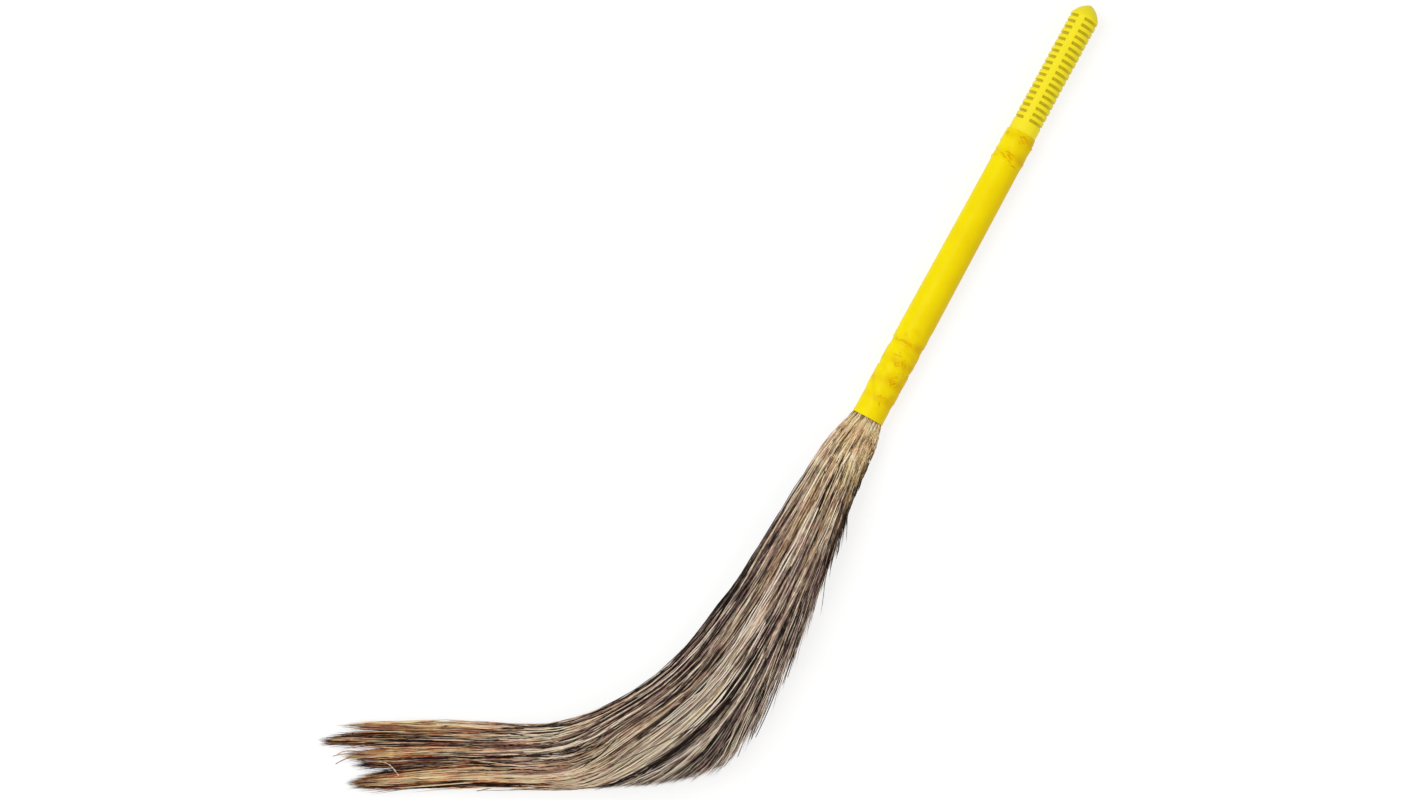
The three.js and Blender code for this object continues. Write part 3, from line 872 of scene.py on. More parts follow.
# Ends of the strands, in stations: how a tuft is rounded, ragged and thinned out, the short
# strands at the tail's outer side, and the corner, underside and edge of the heel
PATH_SAMPLES = 290
PATH_MARGIN = 0.5
TUFT_ROUNDING = 0.2
TUFT_ROUNDING_POWER = 1.6
TUFT_OFF_MIDDLE_LIMIT = 1.3
STRAND_RAGGED = 0.2
STALK_RAGGED = 0.16
BROKEN_PART = 0.25
BROKEN_MOST = 2.0
SHORT_BEYOND = 0.93
SHORT_PART = 0.75
SHORT_END = 9.05
SHORT_RAGGED = 0.07
CORNER_FROM = (5.2, 5.7)
CORNER_TO = (7.5, 7.0)
UNDER_FROM = (6.8, 7.3)
WISPS = 0.1
MORE_WISPS_AT_CORNER = 0.12
WISPS_FROM = (2.8, 4.0)
WISPS_TO = (7.2, 6.6)
WISP_REACH = 0.75
WISP_RANGE = (0.2, 1)
FEWER_PAST_CORNER = 0.75
HEEL_RAGGED = 0.12
LESS_RAGGED_UNDER = 0.08
MORE_RAGGED_AT_CORNER = 0.22
FIRST_HEEL_END = 1.2
FIRST_TUFT_END = 7.5

# Strays, in millimetres: the part that strays far, how far it does and how far the rest does
STRAY_MM = (0.05, 4.5, 1.3)
STRAY_RISE_MM = (0.04, 3.0, 1.0)
STRAY_LENGTH = 1.0
WISP_STRAY_MM = (0, 6.5)
UPPER_HEEL_END = 3.4
UPPER_HEEL_STRAY = 0.5
LESS_STRAY_UNDER = 0.7
UNEVEN_SIDEWAYS_MM = 0.28
UNEVEN_UPWARDS_MM = 0.75
UNEVEN_FROM = (-0.1, 0.9)
STRAND_CLEARANCE_MM = 0.15

# Rings and thickness of a strand
ROOT_STATIONS = (-0.4, 0.0)
THICKNESS_RANGE = (0.65, 1.35)
BRIGHT_THICKER = 1.3
ROOT_THICKNESS = 1.05
THINNING = 0.5
THINNING_POWER = 1.5

# Tone of the grass down the head, where 0 is near black and 1 is straw, and its streaks: middle
# as a share of the head where it starts and where it stops, half width, first and last station,
# and change of tone
TONES = ((0, 1, 2, 3.5, 5, 6.5, 8, 9.5, 12), (0.75, 0.63, 0.59, 0.5, 0.4, 0.39, 0.51, 0.57, 0.57))
STREAKS = [
    (0.47, 0.485, 0.036, 4.8, 8.4, 0.66),
    (0.5, 0.5, 0.04, 6.8, 8.4, 0.34),
    (0.44, 0.37, 0.034, 8.0, 10.2, 0.66),
    (0.42, 0.43, 0.026, 9.7, 11.4, -0.22),
    (0.25, 0.25, 0.018, 9.4, 11.2, -0.25),
    (0.475, 0.465, 0.03, 9.2, 11.6, -0.55),
    (0.39, 0.4, 0.015, 2.2, 5.8, 0.4),
    (0.46, 0.465, 0.03, 2.4, 5.0, -0.36),
    (0.33, 0.39, 0.04, 5.4, 7.2, -0.24),
    (0.535, 0.54, 0.025, 1.8, 3.0, 0.55),
    (0.525, 0.575, 0.018, 5.8, 7.2, -0.24),
    (0.67, 0.7, 0.06, 6.4, 7.4, -0.12),
    (0.62, 0.64, 0.035, 4.2, 5.9, 0.2),
    (0.75, 0.75, 0.2, 0.4, 2.2, 0.12),
    (0.8, 0.8, 0.04, 4.4, 5.6, 0.2),
    (0.85, 0.8, 0.05, 2.4, 4.4, -0.14),
    (0.02, 0.02, 0.04, 3.0, 5.0, -0.42),
    (0.02, 0.02, 0.04, 5.0, 8.2, -0.22),
    (0.085, 0.085, 0.045, 5.6, 6.9, -0.55),
    (0.16, 0.15, 0.035, 3.2, 4.4, -0.42),
    (0.16, 0.16, 0.035, 5.0, 7.0, -0.18),
    (0.24, 0.24, 0.06, 4.6, 6.2, -0.2),
    (0.7, 0.7, 0.03, 5.0, 6.4, -0.24),
    (0.235, 0.235, 0.035, 7.6, 10.4, -0.34),
    (0.22, 0.27, 0.035, 8.6, 9.5, -0.34),
    (0.32, 0.32, 0.025, 0.0, 3.6, -0.3),
    (0.31, 0.31, 0.022, 8.0, 12.6, -0.34),
]
STREAK_FADE = 0.6
STREAK_TAKES = (0.3, 1.7)
STREAK_HOME_SHARE = 0.3

# Tones of single strands. Each rise is its height and the stations where it starts and stops.
CLUMP_TONE_SPREAD = 0.03
STALK_TONE_SPREAD = 0.06
OWN_TONE_SPREAD = 0.35
BRIGHT_PART = 0.14
DARK_PART = 0.18
EXTRA_TONES = (0.2, 0.45)
# Strands from inside the bundle are darker, both as painted shade and as fibre that the sun bleached
# less
INSIDE_SHADE_AND_UNBLEACHED = 0.08
INSIDE_TO = (0.5, 0.9)
OWN_TONE_AT_NECK = 0.42
OWN_TONE_RISES = ((0.3, 0, 3.5), (0.58, 4, 6))
GROUP_TONE_RISES = ((1.2, 4, 7),)
# Painted shade on the strands where they come out from under the sleeve's edge, and the stations that
# it fades over
ROOT_PAINTED_SHADE = 0.3
ROOT_SHADE_TO = (0.0, 0.08)

# The heel's dark rim, partly its own dark strands and partly painted shade along its edge: from how
# far within its edge, how dark, and from and to which stations. Its wisps are less dark, and the tips
# at its corner are lighter.
RIM_MM = (7.5, 1.5)
RIM_DARK_AND_SHADE = 0.42
RIM_RANGE = (0.5, 1.2)
RIM_FROM = (0.8, 2.4)
RIM_TO = (9.4, 8.4)
WISP_RIM = 0.5
CORNER_TIPS_LIGHTER = 0.4
CORNER_TIPS_FROM = (0.2, 1)

# How the grass turns golden towards its tips: shares and amounts, or the stations of a change
TURNING_SPREAD = 0.5
REDDENS_AT = 5.6
REDDENS_LATER = ((0.3, 0.42, 0.5, 0.6), (0, 1.4, 1.4, 3))
REDDENS_WITHIN = 2
WARMTH = ((0.14, 0.2, 0.34, 0.4), (0.22, 0.08, 0.08, 0.35))
TURNS_SOONER = 0.5
TURNS_SOONER_FROM = (0.3, 0.36)
TURNS_GOLDEN = (8.2, 10.7)
TIP_TONE_GROWS = ((8.5, 10.5), (0, 1))
TIP_TONE_BASE = 0.58
TIP_END_DARKER = 0.2
TIP_END_FROM = (0.55, 1)

# Hue of the grass, where 0 is ruddy and 1 is tan: stations and amounts
HUES = ((0.5, 1.5, 2.5, 4, 5), (1.0, 0.8, 0.6, 0.2, 0.05))
HUE_ACROSS = ((0, 1, 3, 4.5), (0, 1, 1, 0))
HUE_ACROSS_MIDDLE = 0.4
TAN_BAND = 0.35
TAN_BAND_MIDDLE = 0.46
TAN_BAND_WIDTH = 0.06
TAN_BAND_FROM = (4, 6)
HUE_SPREAD = 0.22

# What sets the mottling of strands and of stalks apart, and how far the strands are turned
SEEDS = (0, 10)
STALK_STEP = 0.37
FACING_SPREAD = 0.5


def some_far(rng, count, part, far, near):
    """Random amounts, of which a part spreads far and the rest near."""
    return rng.normal(0, 1, count) * np.where(rng.uniform(0, 1, count) < part, far, near)


class GrassHead:
    """The strands of the grass head. Each step draws its random numbers in turn, so the steps
    follow each other in one order."""

    def __init__(self, sizes):
        self.sizes = sizes
        self.rng = np.random.default_rng(sizes.seed)
        self.table = head_table()
        self.plant()
        self.part_into_tufts()
        self.set_wandering()
        self.set_ends()
        self.run_strands()
        self.values = self.colour_strands()

    def plant(self):
        """Plants the strands in the round bundle at the neck, by stalk and by clump."""
        sizes, rng = self.sizes, self.rng
        stalk = sunflower(rng, sizes.stalks, *STALK_DISC)
        clump = sunflower(rng, sizes.clumps, *CLUMP_DISC)
        stalk_clump = ((stalk[:, None, :] - clump[None, :, :]) ** 2).sum(axis=2).argmin(axis=1)
        self.of_stalk = np.repeat(np.arange(sizes.stalks), sizes.strands)
        self.of_clump = stalk_clump[self.of_stalk]
        self.count = len(self.of_stalk)
        spread = STALK_SPREAD * np.sqrt(rng.uniform(0, 1, self.count))
        way = rng.uniform(0, FULL_TURN, self.count)
        self.offset = np.stack([np.cos(way), np.sin(way)], axis=1) * spread[:, None]
        self.home = stalk[self.of_stalk]
        self.clump_home = clump[self.of_clump]

    def part_into_tufts(self):
        """Finds how far across the head each strand lies, and the tuft that it would end in."""
        self.share = np.clip((1 + self.home[:, 0] + self.offset[:, 0]) / 2, 0, LAST_SHARE)
        self.own_share = self.share / TAIL_SHARE + self.rng.normal(0, TUFT_BLUR, self.count)
        tufts = np.array(TUFTS)
        number = np.clip(np.searchsorted(tufts[:, 1], self.own_share), 0, len(tufts) - 1)
        low, high, self.tuft_middle, self.tuft_reach, self.tuft_tone = tufts[number].T
        self.tuft_centre = (low + high) / 2
        self.tuft_half_width = (high - low) / 2
        self.to_tips = self.share < TAIL_SHARE
        self.bright = self.rng.uniform(0, 1, self.count) < BRIGHT_PART

    def set_wandering(self):
        """Sets how the strands, stalks and clumps leave their straight course."""
        sizes, rng = self.sizes, self.rng
        self.drift = some_far(rng, self.count, *DRIFT)
        self.drift_start = rng.uniform(0, FULL_TURN, self.count)
        self.drift_rate = rng.uniform(*DRIFT_RATES, self.count)
        self.wander = some_far(rng, sizes.stalks, *WANDER)[self.of_stalk]
        self.wander_start = rng.uniform(0, FULL_TURN, sizes.stalks)[self.of_stalk]
        self.draw_in = rng.uniform(*DRAWING_IN_RANGE, sizes.clumps)[self.of_clump]
        self.waves = []
        groups = (self.of_clump, self.of_stalk, np.arange(self.count))
        for (size, slow, fast), group in zip(WAVES_MM, groups):
            number = group.max() + 1
            rate = rng.uniform(slow, fast, number)[group]
            starts = rng.uniform(0, FULL_TURN, (2, number))[:, group]
            self.waves.append((size, rate, starts))

    def in_bundle(self, station):
        """Place of every strand in the round bundle at its stations, as shares of its radius."""
        opened = np.interp(station, *OPENING)
        place = self.home[:, None, :] + self.offset[:, None, :] * opened[..., None]
        draw = np.interp(station, *DRAWING_IN) * self.draw_in[:, None]
        place = place + (self.clump_home[:, None, :] - place) * draw[..., None]
        free = smooth(*WANDER_FROM, station)
        free = free * (1 - smooth(*WANDER_TO, station) * self.to_tips[:, None])
        drifting = np.sin(self.drift_rate[:, None] * station + self.drift_start[:, None])
        place[..., 0] += self.drift[:, None] * drifting * free
        wandering = np.sin(WANDER_RATE * station + self.wander_start[:, None])
        place[..., 0] += self.wander[:, None] * wandering * free
        out = np.linalg.norm(place, axis=2, keepdims=True)
        return place / np.maximum(out / BUNDLE_EDGE, 1)

    def lay(self, station):
        """Place of every strand at its stations: plan, height, the way out of the head, and how
        far across the head it lies."""
        row = on_curve(self.table, station)
        place = self.in_bundle(station)
        to_tips = self.to_tips[:, None]

        # What runs on to the tips is rounded off on its own, and then gathers into tufts
        own = np.clip((place[..., 0] + 1) / TAIL_SHARE - 1, -1, 1)
        full_side = np.sqrt(np.clip(1 - place[..., 0] ** 2, LEAST_WHOLE_SIDE, 1))
        own_side = np.sqrt(np.clip(1 - own**2, LEAST_TAIL_SIDE, 1))
        rounding = smooth(*ROUNDED_OFF, station) * to_tips
        lift = place[..., 1] * (1 + (own_side / full_side - 1) * rounding)
        lies = (1 + place[..., 0]) / 2
        gather = smooth(*GATHERED, station) * to_tips
        span = (lies / TAIL_SHARE - self.tuft_centre[:, None]) * (1 - GATHERED_NARROWER * gather)
        across = lies * (1 - gather) + (self.tuft_middle[:, None] + span) * TAIL_SHARE * gather
        lift = lift * (1 - GATHERED_LOWER * gather)

        wave, rise = np.zeros(station.shape), np.zeros(station.shape)
        for size, rate, starts in self.waves:
            wave += size * np.sin(rate[:, None] * station + starts[0][:, None])
            rise += size * np.sin(rate[:, None] * station + starts[1][:, None])
        growth = smooth(*WAVES_GROW, station)
        wave = wave * (SIDE_WAVES_AT_NECK + (1 - SIDE_WAVES_AT_NECK) * growth)
        rise = rise * (RISE_WAVES_AT_NECK + (1 - RISE_WAVES_AT_NECK) * growth)
        outward = row[..., 4:6] - row[..., 0:2]
        outward = outward / np.linalg.norm(outward, axis=2, keepdims=True)
        plan = across_row(row, across) + outward * wave[..., None]
        return plan, row[..., 7] + lift * row[..., 6] / 2 + rise, outward, lies

    def set_ends(self):
        """Sets where each strand ends: where it passes the heel's edge, or else in its tuft."""
        sizes, rng, count = self.sizes, self.rng, self.count
        coarse = np.linspace(PATH_MARGIN, len(HEAD_STATIONS_MM) - PATH_MARGIN, PATH_SAMPLES)
        heel_end = leaving_station(coarse, self.lay(np.broadcast_to(coarse, (count, len(coarse))))[0])
        off_middle = np.abs(self.own_share - self.tuft_centre) / self.tuft_half_width
        off_middle = np.clip(off_middle, 0, TUFT_OFF_MIDDLE_LIMIT)
        ragged = rng.exponential(1.0, count)
        tuft_end = self.tuft_reach - TUFT_ROUNDING * off_middle**TUFT_ROUNDING_POWER
        tuft_end = tuft_end - STRAND_RAGGED * ragged
        tuft_end = tuft_end - rng.exponential(STALK_RAGGED, sizes.stalks)[self.of_stalk]
        broken = rng.uniform(0, 1, count) < BROKEN_PART
        tuft_end -= BROKEN_MOST * broken * rng.uniform(0, 1, count)
        short = (self.own_share > SHORT_BEYOND) & (rng.uniform(0, 1, count) < SHORT_PART)
        tuft_end = np.where(short, SHORT_END - SHORT_RAGGED * ragged, tuft_end)

        # Round its corner the heel ends in longer and more ragged wisps, and under it in few
        self.in_heel = heel_end < tuft_end
        self.corner = smooth(*CORNER_FROM, heel_end) * smooth(*CORNER_TO, heel_end)
        wisps = WISPS + MORE_WISPS_AT_CORNER * self.corner
        self.wisp = self.in_heel & (rng.uniform(0, 1, count) < wisps)
        past_edge = WISP_REACH * rng.uniform(*WISP_RANGE, count) ** 2
        past_edge = past_edge * smooth(*WISPS_TO, heel_end) * smooth(*WISPS_FROM, heel_end)
        past_edge = past_edge * (1 - FEWER_PAST_CORNER * self.corner)
        self.under = smooth(*UNDER_FROM, heel_end)
        raggedness = HEEL_RAGGED - LESS_RAGGED_UNDER * self.under + MORE_RAGGED_AT_CORNER * self.corner
        self.heel_end = heel_end - raggedness * ragged + np.where(self.wisp, past_edge, 0)
        self.end = np.where(self.in_heel, np.maximum(self.heel_end, FIRST_HEEL_END),
                            np.maximum(tuft_end, FIRST_TUFT_END))

    def run_strands(self):
        """Sets the rings of each strand: their stations, places and thickness."""
        sizes, rng, count = self.sizes, self.rng, self.count
        root = np.broadcast_to(np.array(ROOT_STATIONS), (count, len(ROOT_STATIONS)))
        later = np.linspace(0, 1, sizes.rings - 1)[1:]
        self.station = station = np.concatenate([root, self.end[:, None] * later[None, :]], axis=1)
        plan, level, outward, self.across = self.lay(station)
        last_part = (station - (self.end[:, None] - STRAY_LENGTH)) / STRAY_LENGTH
        self.to_end = np.clip(last_part, 0, 1) ** 2
        stray = some_far(rng, count, *STRAY_MM)
        wisp_stray = rng.uniform(*WISP_STRAY_MM, count) * smooth(*WISPS_FROM, self.heel_end)
        stray = np.where(self.wisp, wisp_stray, stray)
        upper_heel = self.in_heel & (self.heel_end < UPPER_HEEL_END)
        stray = np.where(upper_heel, -np.abs(stray) * UPPER_HEEL_STRAY, stray)
        stray = np.where(self.in_heel, stray * (1 - LESS_STRAY_UNDER * self.under), stray)
        stray_rise = some_far(rng, count, *STRAY_RISE_MM)
        sideways = stray[:, None] * self.to_end + rng.normal(0, UNEVEN_SIDEWAYS_MM, station.shape)
        plan += outward * sideways[..., None]
        self.plan = plan
        thickness = sizes.thickness / MM * rng.uniform(*THICKNESS_RANGE, count)
        thickness = thickness * np.where(self.bright, BRIGHT_THICKER, 1)
        thinner = ROOT_THICKNESS - THINNING * np.linspace(0, 1, sizes.rings) ** THINNING_POWER
        self.thick = thickness[:, None] * thinner[None, :]
        free = smooth(*UNEVEN_FROM, station)
        level = level + stray_rise[:, None] * self.to_end
        level = level + rng.normal(0, UNEVEN_UPWARDS_MM, station.shape) * free
        level = np.clip(level, self.thick + STRAND_CLEARANCE_MM, HEAD_TOP_MM - self.thick)
        self.spine = np.concatenate([plan, level[..., None]], axis=2)

    def streaks(self):
        """Change of tone by the streaks, which single strands take more or less of."""
        station = self.station
        streaked = np.zeros(station.shape)
        takes = np.random.default_rng(self.sizes.seed + 1).uniform(*STREAK_TAKES, self.count)
        lies = STREAK_HOME_SHARE * self.share[:, None] + (1 - STREAK_HOME_SHARE) * self.across
        for start_share, stop_share, half_width, begin, stop, change in STREAKS:
            passed = np.clip((station - begin) / (stop - begin), 0, 1)
            beside = hump(lies, start_share + (stop_share - start_share) * passed, half_width)
            starts = smooth(begin - STREAK_FADE, begin + STREAK_FADE, station)
            stops = smooth(stop + STREAK_FADE, stop - STREAK_FADE, station)
            streaked += change * takes[:, None] * beside * starts * stops
        return streaked

    def own_tones(self):
        """Change of tone by clump, stalk and strand, which grows down the head, with strands from
        inside the bundle darker, partly as painted shade.
        """
        sizes, rng, count = self.sizes, self.rng, self.count
        group_tone = (rng.normal(0, CLUMP_TONE_SPREAD, sizes.clumps)[self.of_clump]
                      + rng.normal(0, STALK_TONE_SPREAD, sizes.stalks)[self.of_stalk])
        own_tone = rng.normal(0, OWN_TONE_SPREAD, count)
        own_tone += np.where(self.bright, rng.uniform(*EXTRA_TONES, count), 0)
        dark = rng.uniform(0, 1, count) < DARK_PART
        own_tone -= np.where(dark, rng.uniform(*EXTRA_TONES, count), 0)
        # Strands from inside the bundle: painted shade, and fibre that the sun bleached less
        from_middle = np.linalg.norm(self.home, axis=1)
        own_tone -= INSIDE_SHADE_AND_UNBLEACHED * (1 - smooth(*INSIDE_TO, from_middle))
        own_part = own_tone[:, None] * rising(OWN_TONE_AT_NECK, OWN_TONE_RISES, self.station)
        return own_part + group_tone[:, None] * rising(1, GROUP_TONE_RISES, self.station)

    def tones(self, own_part, streaked):
        """Tone from neck to end, with painted shade where the strands leave the sleeve, darker at the
        heel's rim, partly as painted shade, and lighter at the tips of its corner.
        """
        station, corner = self.station, self.corner[:, None]
        tone = np.interp(station, *TONES) + own_part + streaked
        # Painted shade where the strands come out from under the sleeve
        tone = tone - ROOT_PAINTED_SHADE * (1 - smooth(*ROOT_SHADE_TO, station))
        # The heel's rim: partly its own dark strands, partly painted shade along the edge
        rim = smooth(*RIM_MM, within_edge(self.plan)) * smooth(*RIM_FROM, station)
        rim = rim * smooth(*RIM_TO, station)
        own_rim = self.rng.uniform(*RIM_RANGE, self.count)[:, None]
        rim = rim * own_rim * (1 - WISP_RIM * self.wisp[:, None])
        tone = tone - RIM_DARK_AND_SHADE * rim * (1 - corner)
        lighter = CORNER_TIPS_LIGHTER * corner * self.in_heel[:, None]
        return tone + lighter * smooth(*CORNER_TIPS_FROM, self.to_end)

    def golden_tips(self, own_part, streaked):
        """How golden the strands have turned, and their tone there. Some shares turn sooner."""
        share, station = self.share, self.station
        turning = station + self.rng.normal(0, TURNING_SPREAD, self.count)[:, None]
        reddens = REDDENS_AT + np.interp(share, *REDDENS_LATER)[:, None]
        warmth = np.interp(share, *WARMTH)[:, None]
        turning = turning + TURNS_SOONER * smooth(*TURNS_SOONER_FROM, share)[:, None]
        tip = (warmth * smooth(reddens, reddens + REDDENS_WITHIN, turning)
               + (1 - warmth) * smooth(*TURNS_GOLDEN, turning))
        tip_value = np.interp(station, *TIP_TONE_GROWS) * (self.tuft_tone[:, None] - TIP_TONE_BASE)
        tip_value = tip_value + TIP_TONE_BASE + own_part + streaked
        return tip, tip_value - TIP_END_DARKER * smooth(*TIP_END_FROM, self.to_end)

    def hues(self):
        """Hue from neck to end, ruddier or more tan by its share of the head and by stalk."""
        share, station = self.share, self.station
        hue = np.interp(station, *HUES)
        hue += np.interp(station, *HUE_ACROSS) * (share - HUE_ACROSS_MIDDLE)[:, None]
        tan_band = TAN_BAND * hump(share, TAN_BAND_MIDDLE, TAN_BAND_WIDTH)
        hue += tan_band[:, None] * smooth(*TAN_BAND_FROM, station)
        shift = self.rng.normal(0, HUE_SPREAD, self.sizes.stalks)[self.of_stalk]
        return np.clip(hue + shift[:, None], 0, 1)

    def colour_strands(self):
        """Tones, golden tips and hues, ring by ring, and what the mottling runs along."""
        own_part, streaked = self.own_tones(), self.streaks()
        tone = self.tones(own_part, streaked)
        tip, tip_tone = self.golden_tips(own_part, streaked)
        hue = self.hues()
        length = np.linalg.norm(np.diff(self.spine, axis=1), axis=2).cumsum(axis=1) * MM
        length = np.concatenate([np.zeros((self.count, 1)), length], axis=1)
        seed = self.rng.uniform(*SEEDS, self.count)[:, None] + 0 * self.station
        stalk = STALK_STEP * self.of_stalk[:, None] + 0 * self.station
        return {"tone": tone, "tip": tip, "tip_tone": tip_tone, "length": length, "hue": hue,
                "seed": seed, "stalk": stalk}


# Loose strands: four places down the strand as millimetres left of the neck and below it, the
# heights of its ends, and its tone
LOOSE_STRANDS_MM = [
    ((316, 362), (346, 368), (370, 371), (393, 376), 12, 3, 0.4),
    ((324, 364), (348, 369), (368, 372), (384, 373), 11, 2, 0.2),
    ((468, 357), (473, 351), (479, 346), (489, 343), 22, 17, 1.0),
    ((508, 337), (520, 338), (530, 339), (538, 341), 6, 2, 0.5),
    ((508, 339), (518, 341), (528, 345), (535, 349), 6, 2, 0.4),
    ((506, 336), (519, 335), (527, 336), (533, 339), 7, 3, 0.6),
    ((52, 156), (58, 184), (69, 217), (84, 256), 14, 8, 0.2),
    ((56, 172), (62, 200), (70, 228), (80, 262), 13, 7, 0.1),
    ((60, 190), (67, 217), (76, 242), (85, 269), 12, 6, 0.2),
    ((78, 236), (90, 270), (101, 298), (112, 322), 13, 5, 0.15),
    ((82, 244), (96, 280), (105, 302), (113, 318), 12, 5, 0.25),
    ((86, 250), (97, 276), (108, 302), (116, 324), 10, 4, 0.1),
    ((98, 262), (112, 296), (120, 316), (130, 342), 12, 3, 0.2),
    ((108, 284), (120, 312), (131, 334), (144, 352), 11, 3, 0.15),
    ((40, 120), (46, 146), (54, 172), (62, 196), 15, 10, 0.2),
]
LOOSE_RADII_MM = (0.85, 0.4)
LOOSE_LENGTH_MM = 100
LOOSE_TIP = 0.4
LOOSE_HUE = 0.3


def loose_strands(rings):
    """Spines, thickness and values of the loose strands."""
    neck = HANDLE.origin / MM
    run = np.linspace(0, 1, rings)
    spines, tones = [], []
    for *places, first, last, tone in LOOSE_STRANDS_MM:
        table = np.array([(neck.x - left, neck.y - down) for left, down in places])
        plan = on_curve(np.concatenate([table[:1], table]), run * (len(places) - 1))
        spines.append(np.concatenate([plan, (first + (last - first) * run)[:, None]], axis=1))
        tones.append(tone)
    number = len(spines)
    along = np.broadcast_to(run, (number, rings))
    own = {"tone": tones, "tip": np.full(number, LOOSE_TIP), "tip_tone": tones,
           "hue": np.full(number, LOOSE_HUE), "seed": np.arange(number), "stalk": np.arange(number)}
    values = {label: np.array(amount)[:, None] + 0 * along for label, amount in own.items()}
    values["length"] = along * LOOSE_LENGTH_MM * MM
    return np.array(spines), np.tile(np.linspace(*LOOSE_RADII_MM, rings), (number, 1)), values


# Sides of a strand, and the map of the strands: cells in a row, the part of a cell that a strand
# fills, and how high the faces at its ends are drawn
STRAND_SIDES = 3
MAP_COLUMNS = 256
MAP_CELL_SHARE = 0.75
MAP_ROW_MARGIN = 0.03
MAP_ROW_SHARE = 0.94
MAP_END_HEIGHT = 0.001


def strand_map(count, rings, corner):
    """Map corners of every quad, root and tip of the strands, each strand in a cell of its own."""
    column = (np.arange(count) % MAP_COLUMNS)[:, None, None]
    row = (np.arange(count) // MAP_COLUMNS)[:, None, None]
    rows = math.ceil(count / MAP_COLUMNS)
    margin = (1 - MAP_CELL_SHARE) / 2
    u0 = (column + margin + MAP_CELL_SHARE * corner / STRAND_SIDES) / MAP_COLUMNS
    u1 = u0 + MAP_CELL_SHARE / STRAND_SIDES / MAP_COLUMNS
    step = np.arange(rings - 1)[None, :, None] / (rings - 1)
    v0 = (row + MAP_ROW_MARGIN + MAP_ROW_SHARE * step) / rows
    v1 = v0 + MAP_ROW_SHARE / (rings - 1) / rows
    u0, u1, v0, v1 = np.broadcast_arrays(u0, u1, v0, v1)
    pairs = ((u0, v0), (u1, v0), (u1, v1), (u0, v1))
    uv = np.stack([np.stack(pair, axis=-1) for pair in pairs], axis=-2)
    sides = uv.reshape(-1, len(pairs), 2)[:, ::-1].reshape(-1, 2)
    ends = np.stack([u0[:, 0], v0[:, 0]], axis=-1)
    ends = ends + np.array([(0, 0), (0, 0), (0, MAP_END_HEIGHT)])
    ends = ends.reshape(-1, 2)
    return np.concatenate([sides, ends, ends])


def add_strands(name, spine_mm, thick_mm, facing, values, material, node):
    """Adds strands of three sides that taper to a point, one side square to the way that each
    faces, and each with a cell of its own in the map."""
    count, rings = spine_mm.shape[:2]
    heading = np.gradient(spine_mm, axis=1)
    heading /= np.linalg.norm(heading, axis=2, keepdims=True)
    side = np.cross(heading, np.array((0, 0, 1.0)))
    side /= np.linalg.norm(side, axis=2, keepdims=True)
    top = np.cross(side, heading)
    turns = (np.arange(STRAND_SIDES) + 0.5) * FULL_TURN / STRAND_SIDES + facing[:, None]
    around = (side[:, :, None, :] * np.cos(turns)[:, None, :, None]
              + top[:, :, None, :] * np.sin(turns)[:, None, :, None])
    thick = thick_mm.copy()
    thick[:, -1] = POINT_RADIUS_MM
    points = (spine_mm[:, :, None, :] + around * thick[:, :, None, None]) * MM
    strand = np.arange(count)[:, None, None] * rings * STRAND_SIDES
    corner = np.arange(STRAND_SIDES)[None, None, :]
    low = strand + np.arange(rings - 1)[None, :, None] * STRAND_SIDES
    high = low + STRAND_SIDES
    after = (corner + 1) % STRAND_SIDES
    corners = [high + corner, high + after, low + after, low + corner]
    quads = np.stack(corners, axis=-1).reshape(-1, len(corners))
    first = strand[:, 0, 0]
    last = first + (rings - 1) * STRAND_SIDES
    no_corner = np.full(count, -1)
    root = np.stack([first, first + 1, first + 2, no_corner], axis=-1)
    tip = np.stack([last + 2, last + 1, last, no_corner], axis=-1)
    shares = {label: np.repeat(amount, STRAND_SIDES, axis=1) for label, amount in values.items()}
    add_piece(name, points.reshape(-1, 3), np.concatenate([quads, root, tip]), material,
              [node], shares, strand_map(count, rings, corner))


class BROOM_OT_grass(bpy.types.Operator):
    """Grows the grass head: stalks bound at the neck that part into strands, clumps and tufts"""

    bl_idname = "broom.grass"
    bl_label = "Grass head"

    def execute(self, context):
        head = GrassHead(context.scene.broom_grass)
        home = head.home
        material = dried_grass("broom grass dried natural", roughness=0.8)
        facing = np.arctan2(home[:, 1], -home[:, 0]) + head.rng.normal(0, FACING_SPREAD, head.count)
        bunch = (np.degrees(np.arctan2(home[:, 1], home[:, 0])) % 360 // (360 / BUNCHES)).astype(int)
        from_middle = np.linalg.norm(home, axis=1)

        # The loose strands come last, and go with the bunch that they lie on
        spine, thick, values = loose_strands(head.sizes.rings)
        number = len(spine)
        facing = np.concatenate([facing, np.full(number, math.pi / 2)])
        bunch = np.concatenate([bunch, np.where(spine[:, 0, 0] > 0, 0, 1)])
        from_middle = np.concatenate([from_middle, np.ones(number)])
        spine = np.concatenate([head.spine, spine])
        thick = np.concatenate([head.thick, thick])
        values = {label: np.concatenate([amount, values[label]])
                  for label, amount in head.values.items()}
        for index in range(BUNCHES):
            mine = np.flatnonzero(bunch == index)
            mine = mine[np.argsort(from_middle[mine], kind="stable")]
            for part, chosen in zip(("core", "shell"), np.array_split(mine, 2)):
                picked = {label: amount[chosen] for label, amount in values.items()}
                add_strands(f"grass_{part}_{index + 1}", spine[chosen], thick[chosen],
                            facing[chosen], picked, material, f"grass_bunch_{index + 1}")
        return {"FINISHED"}


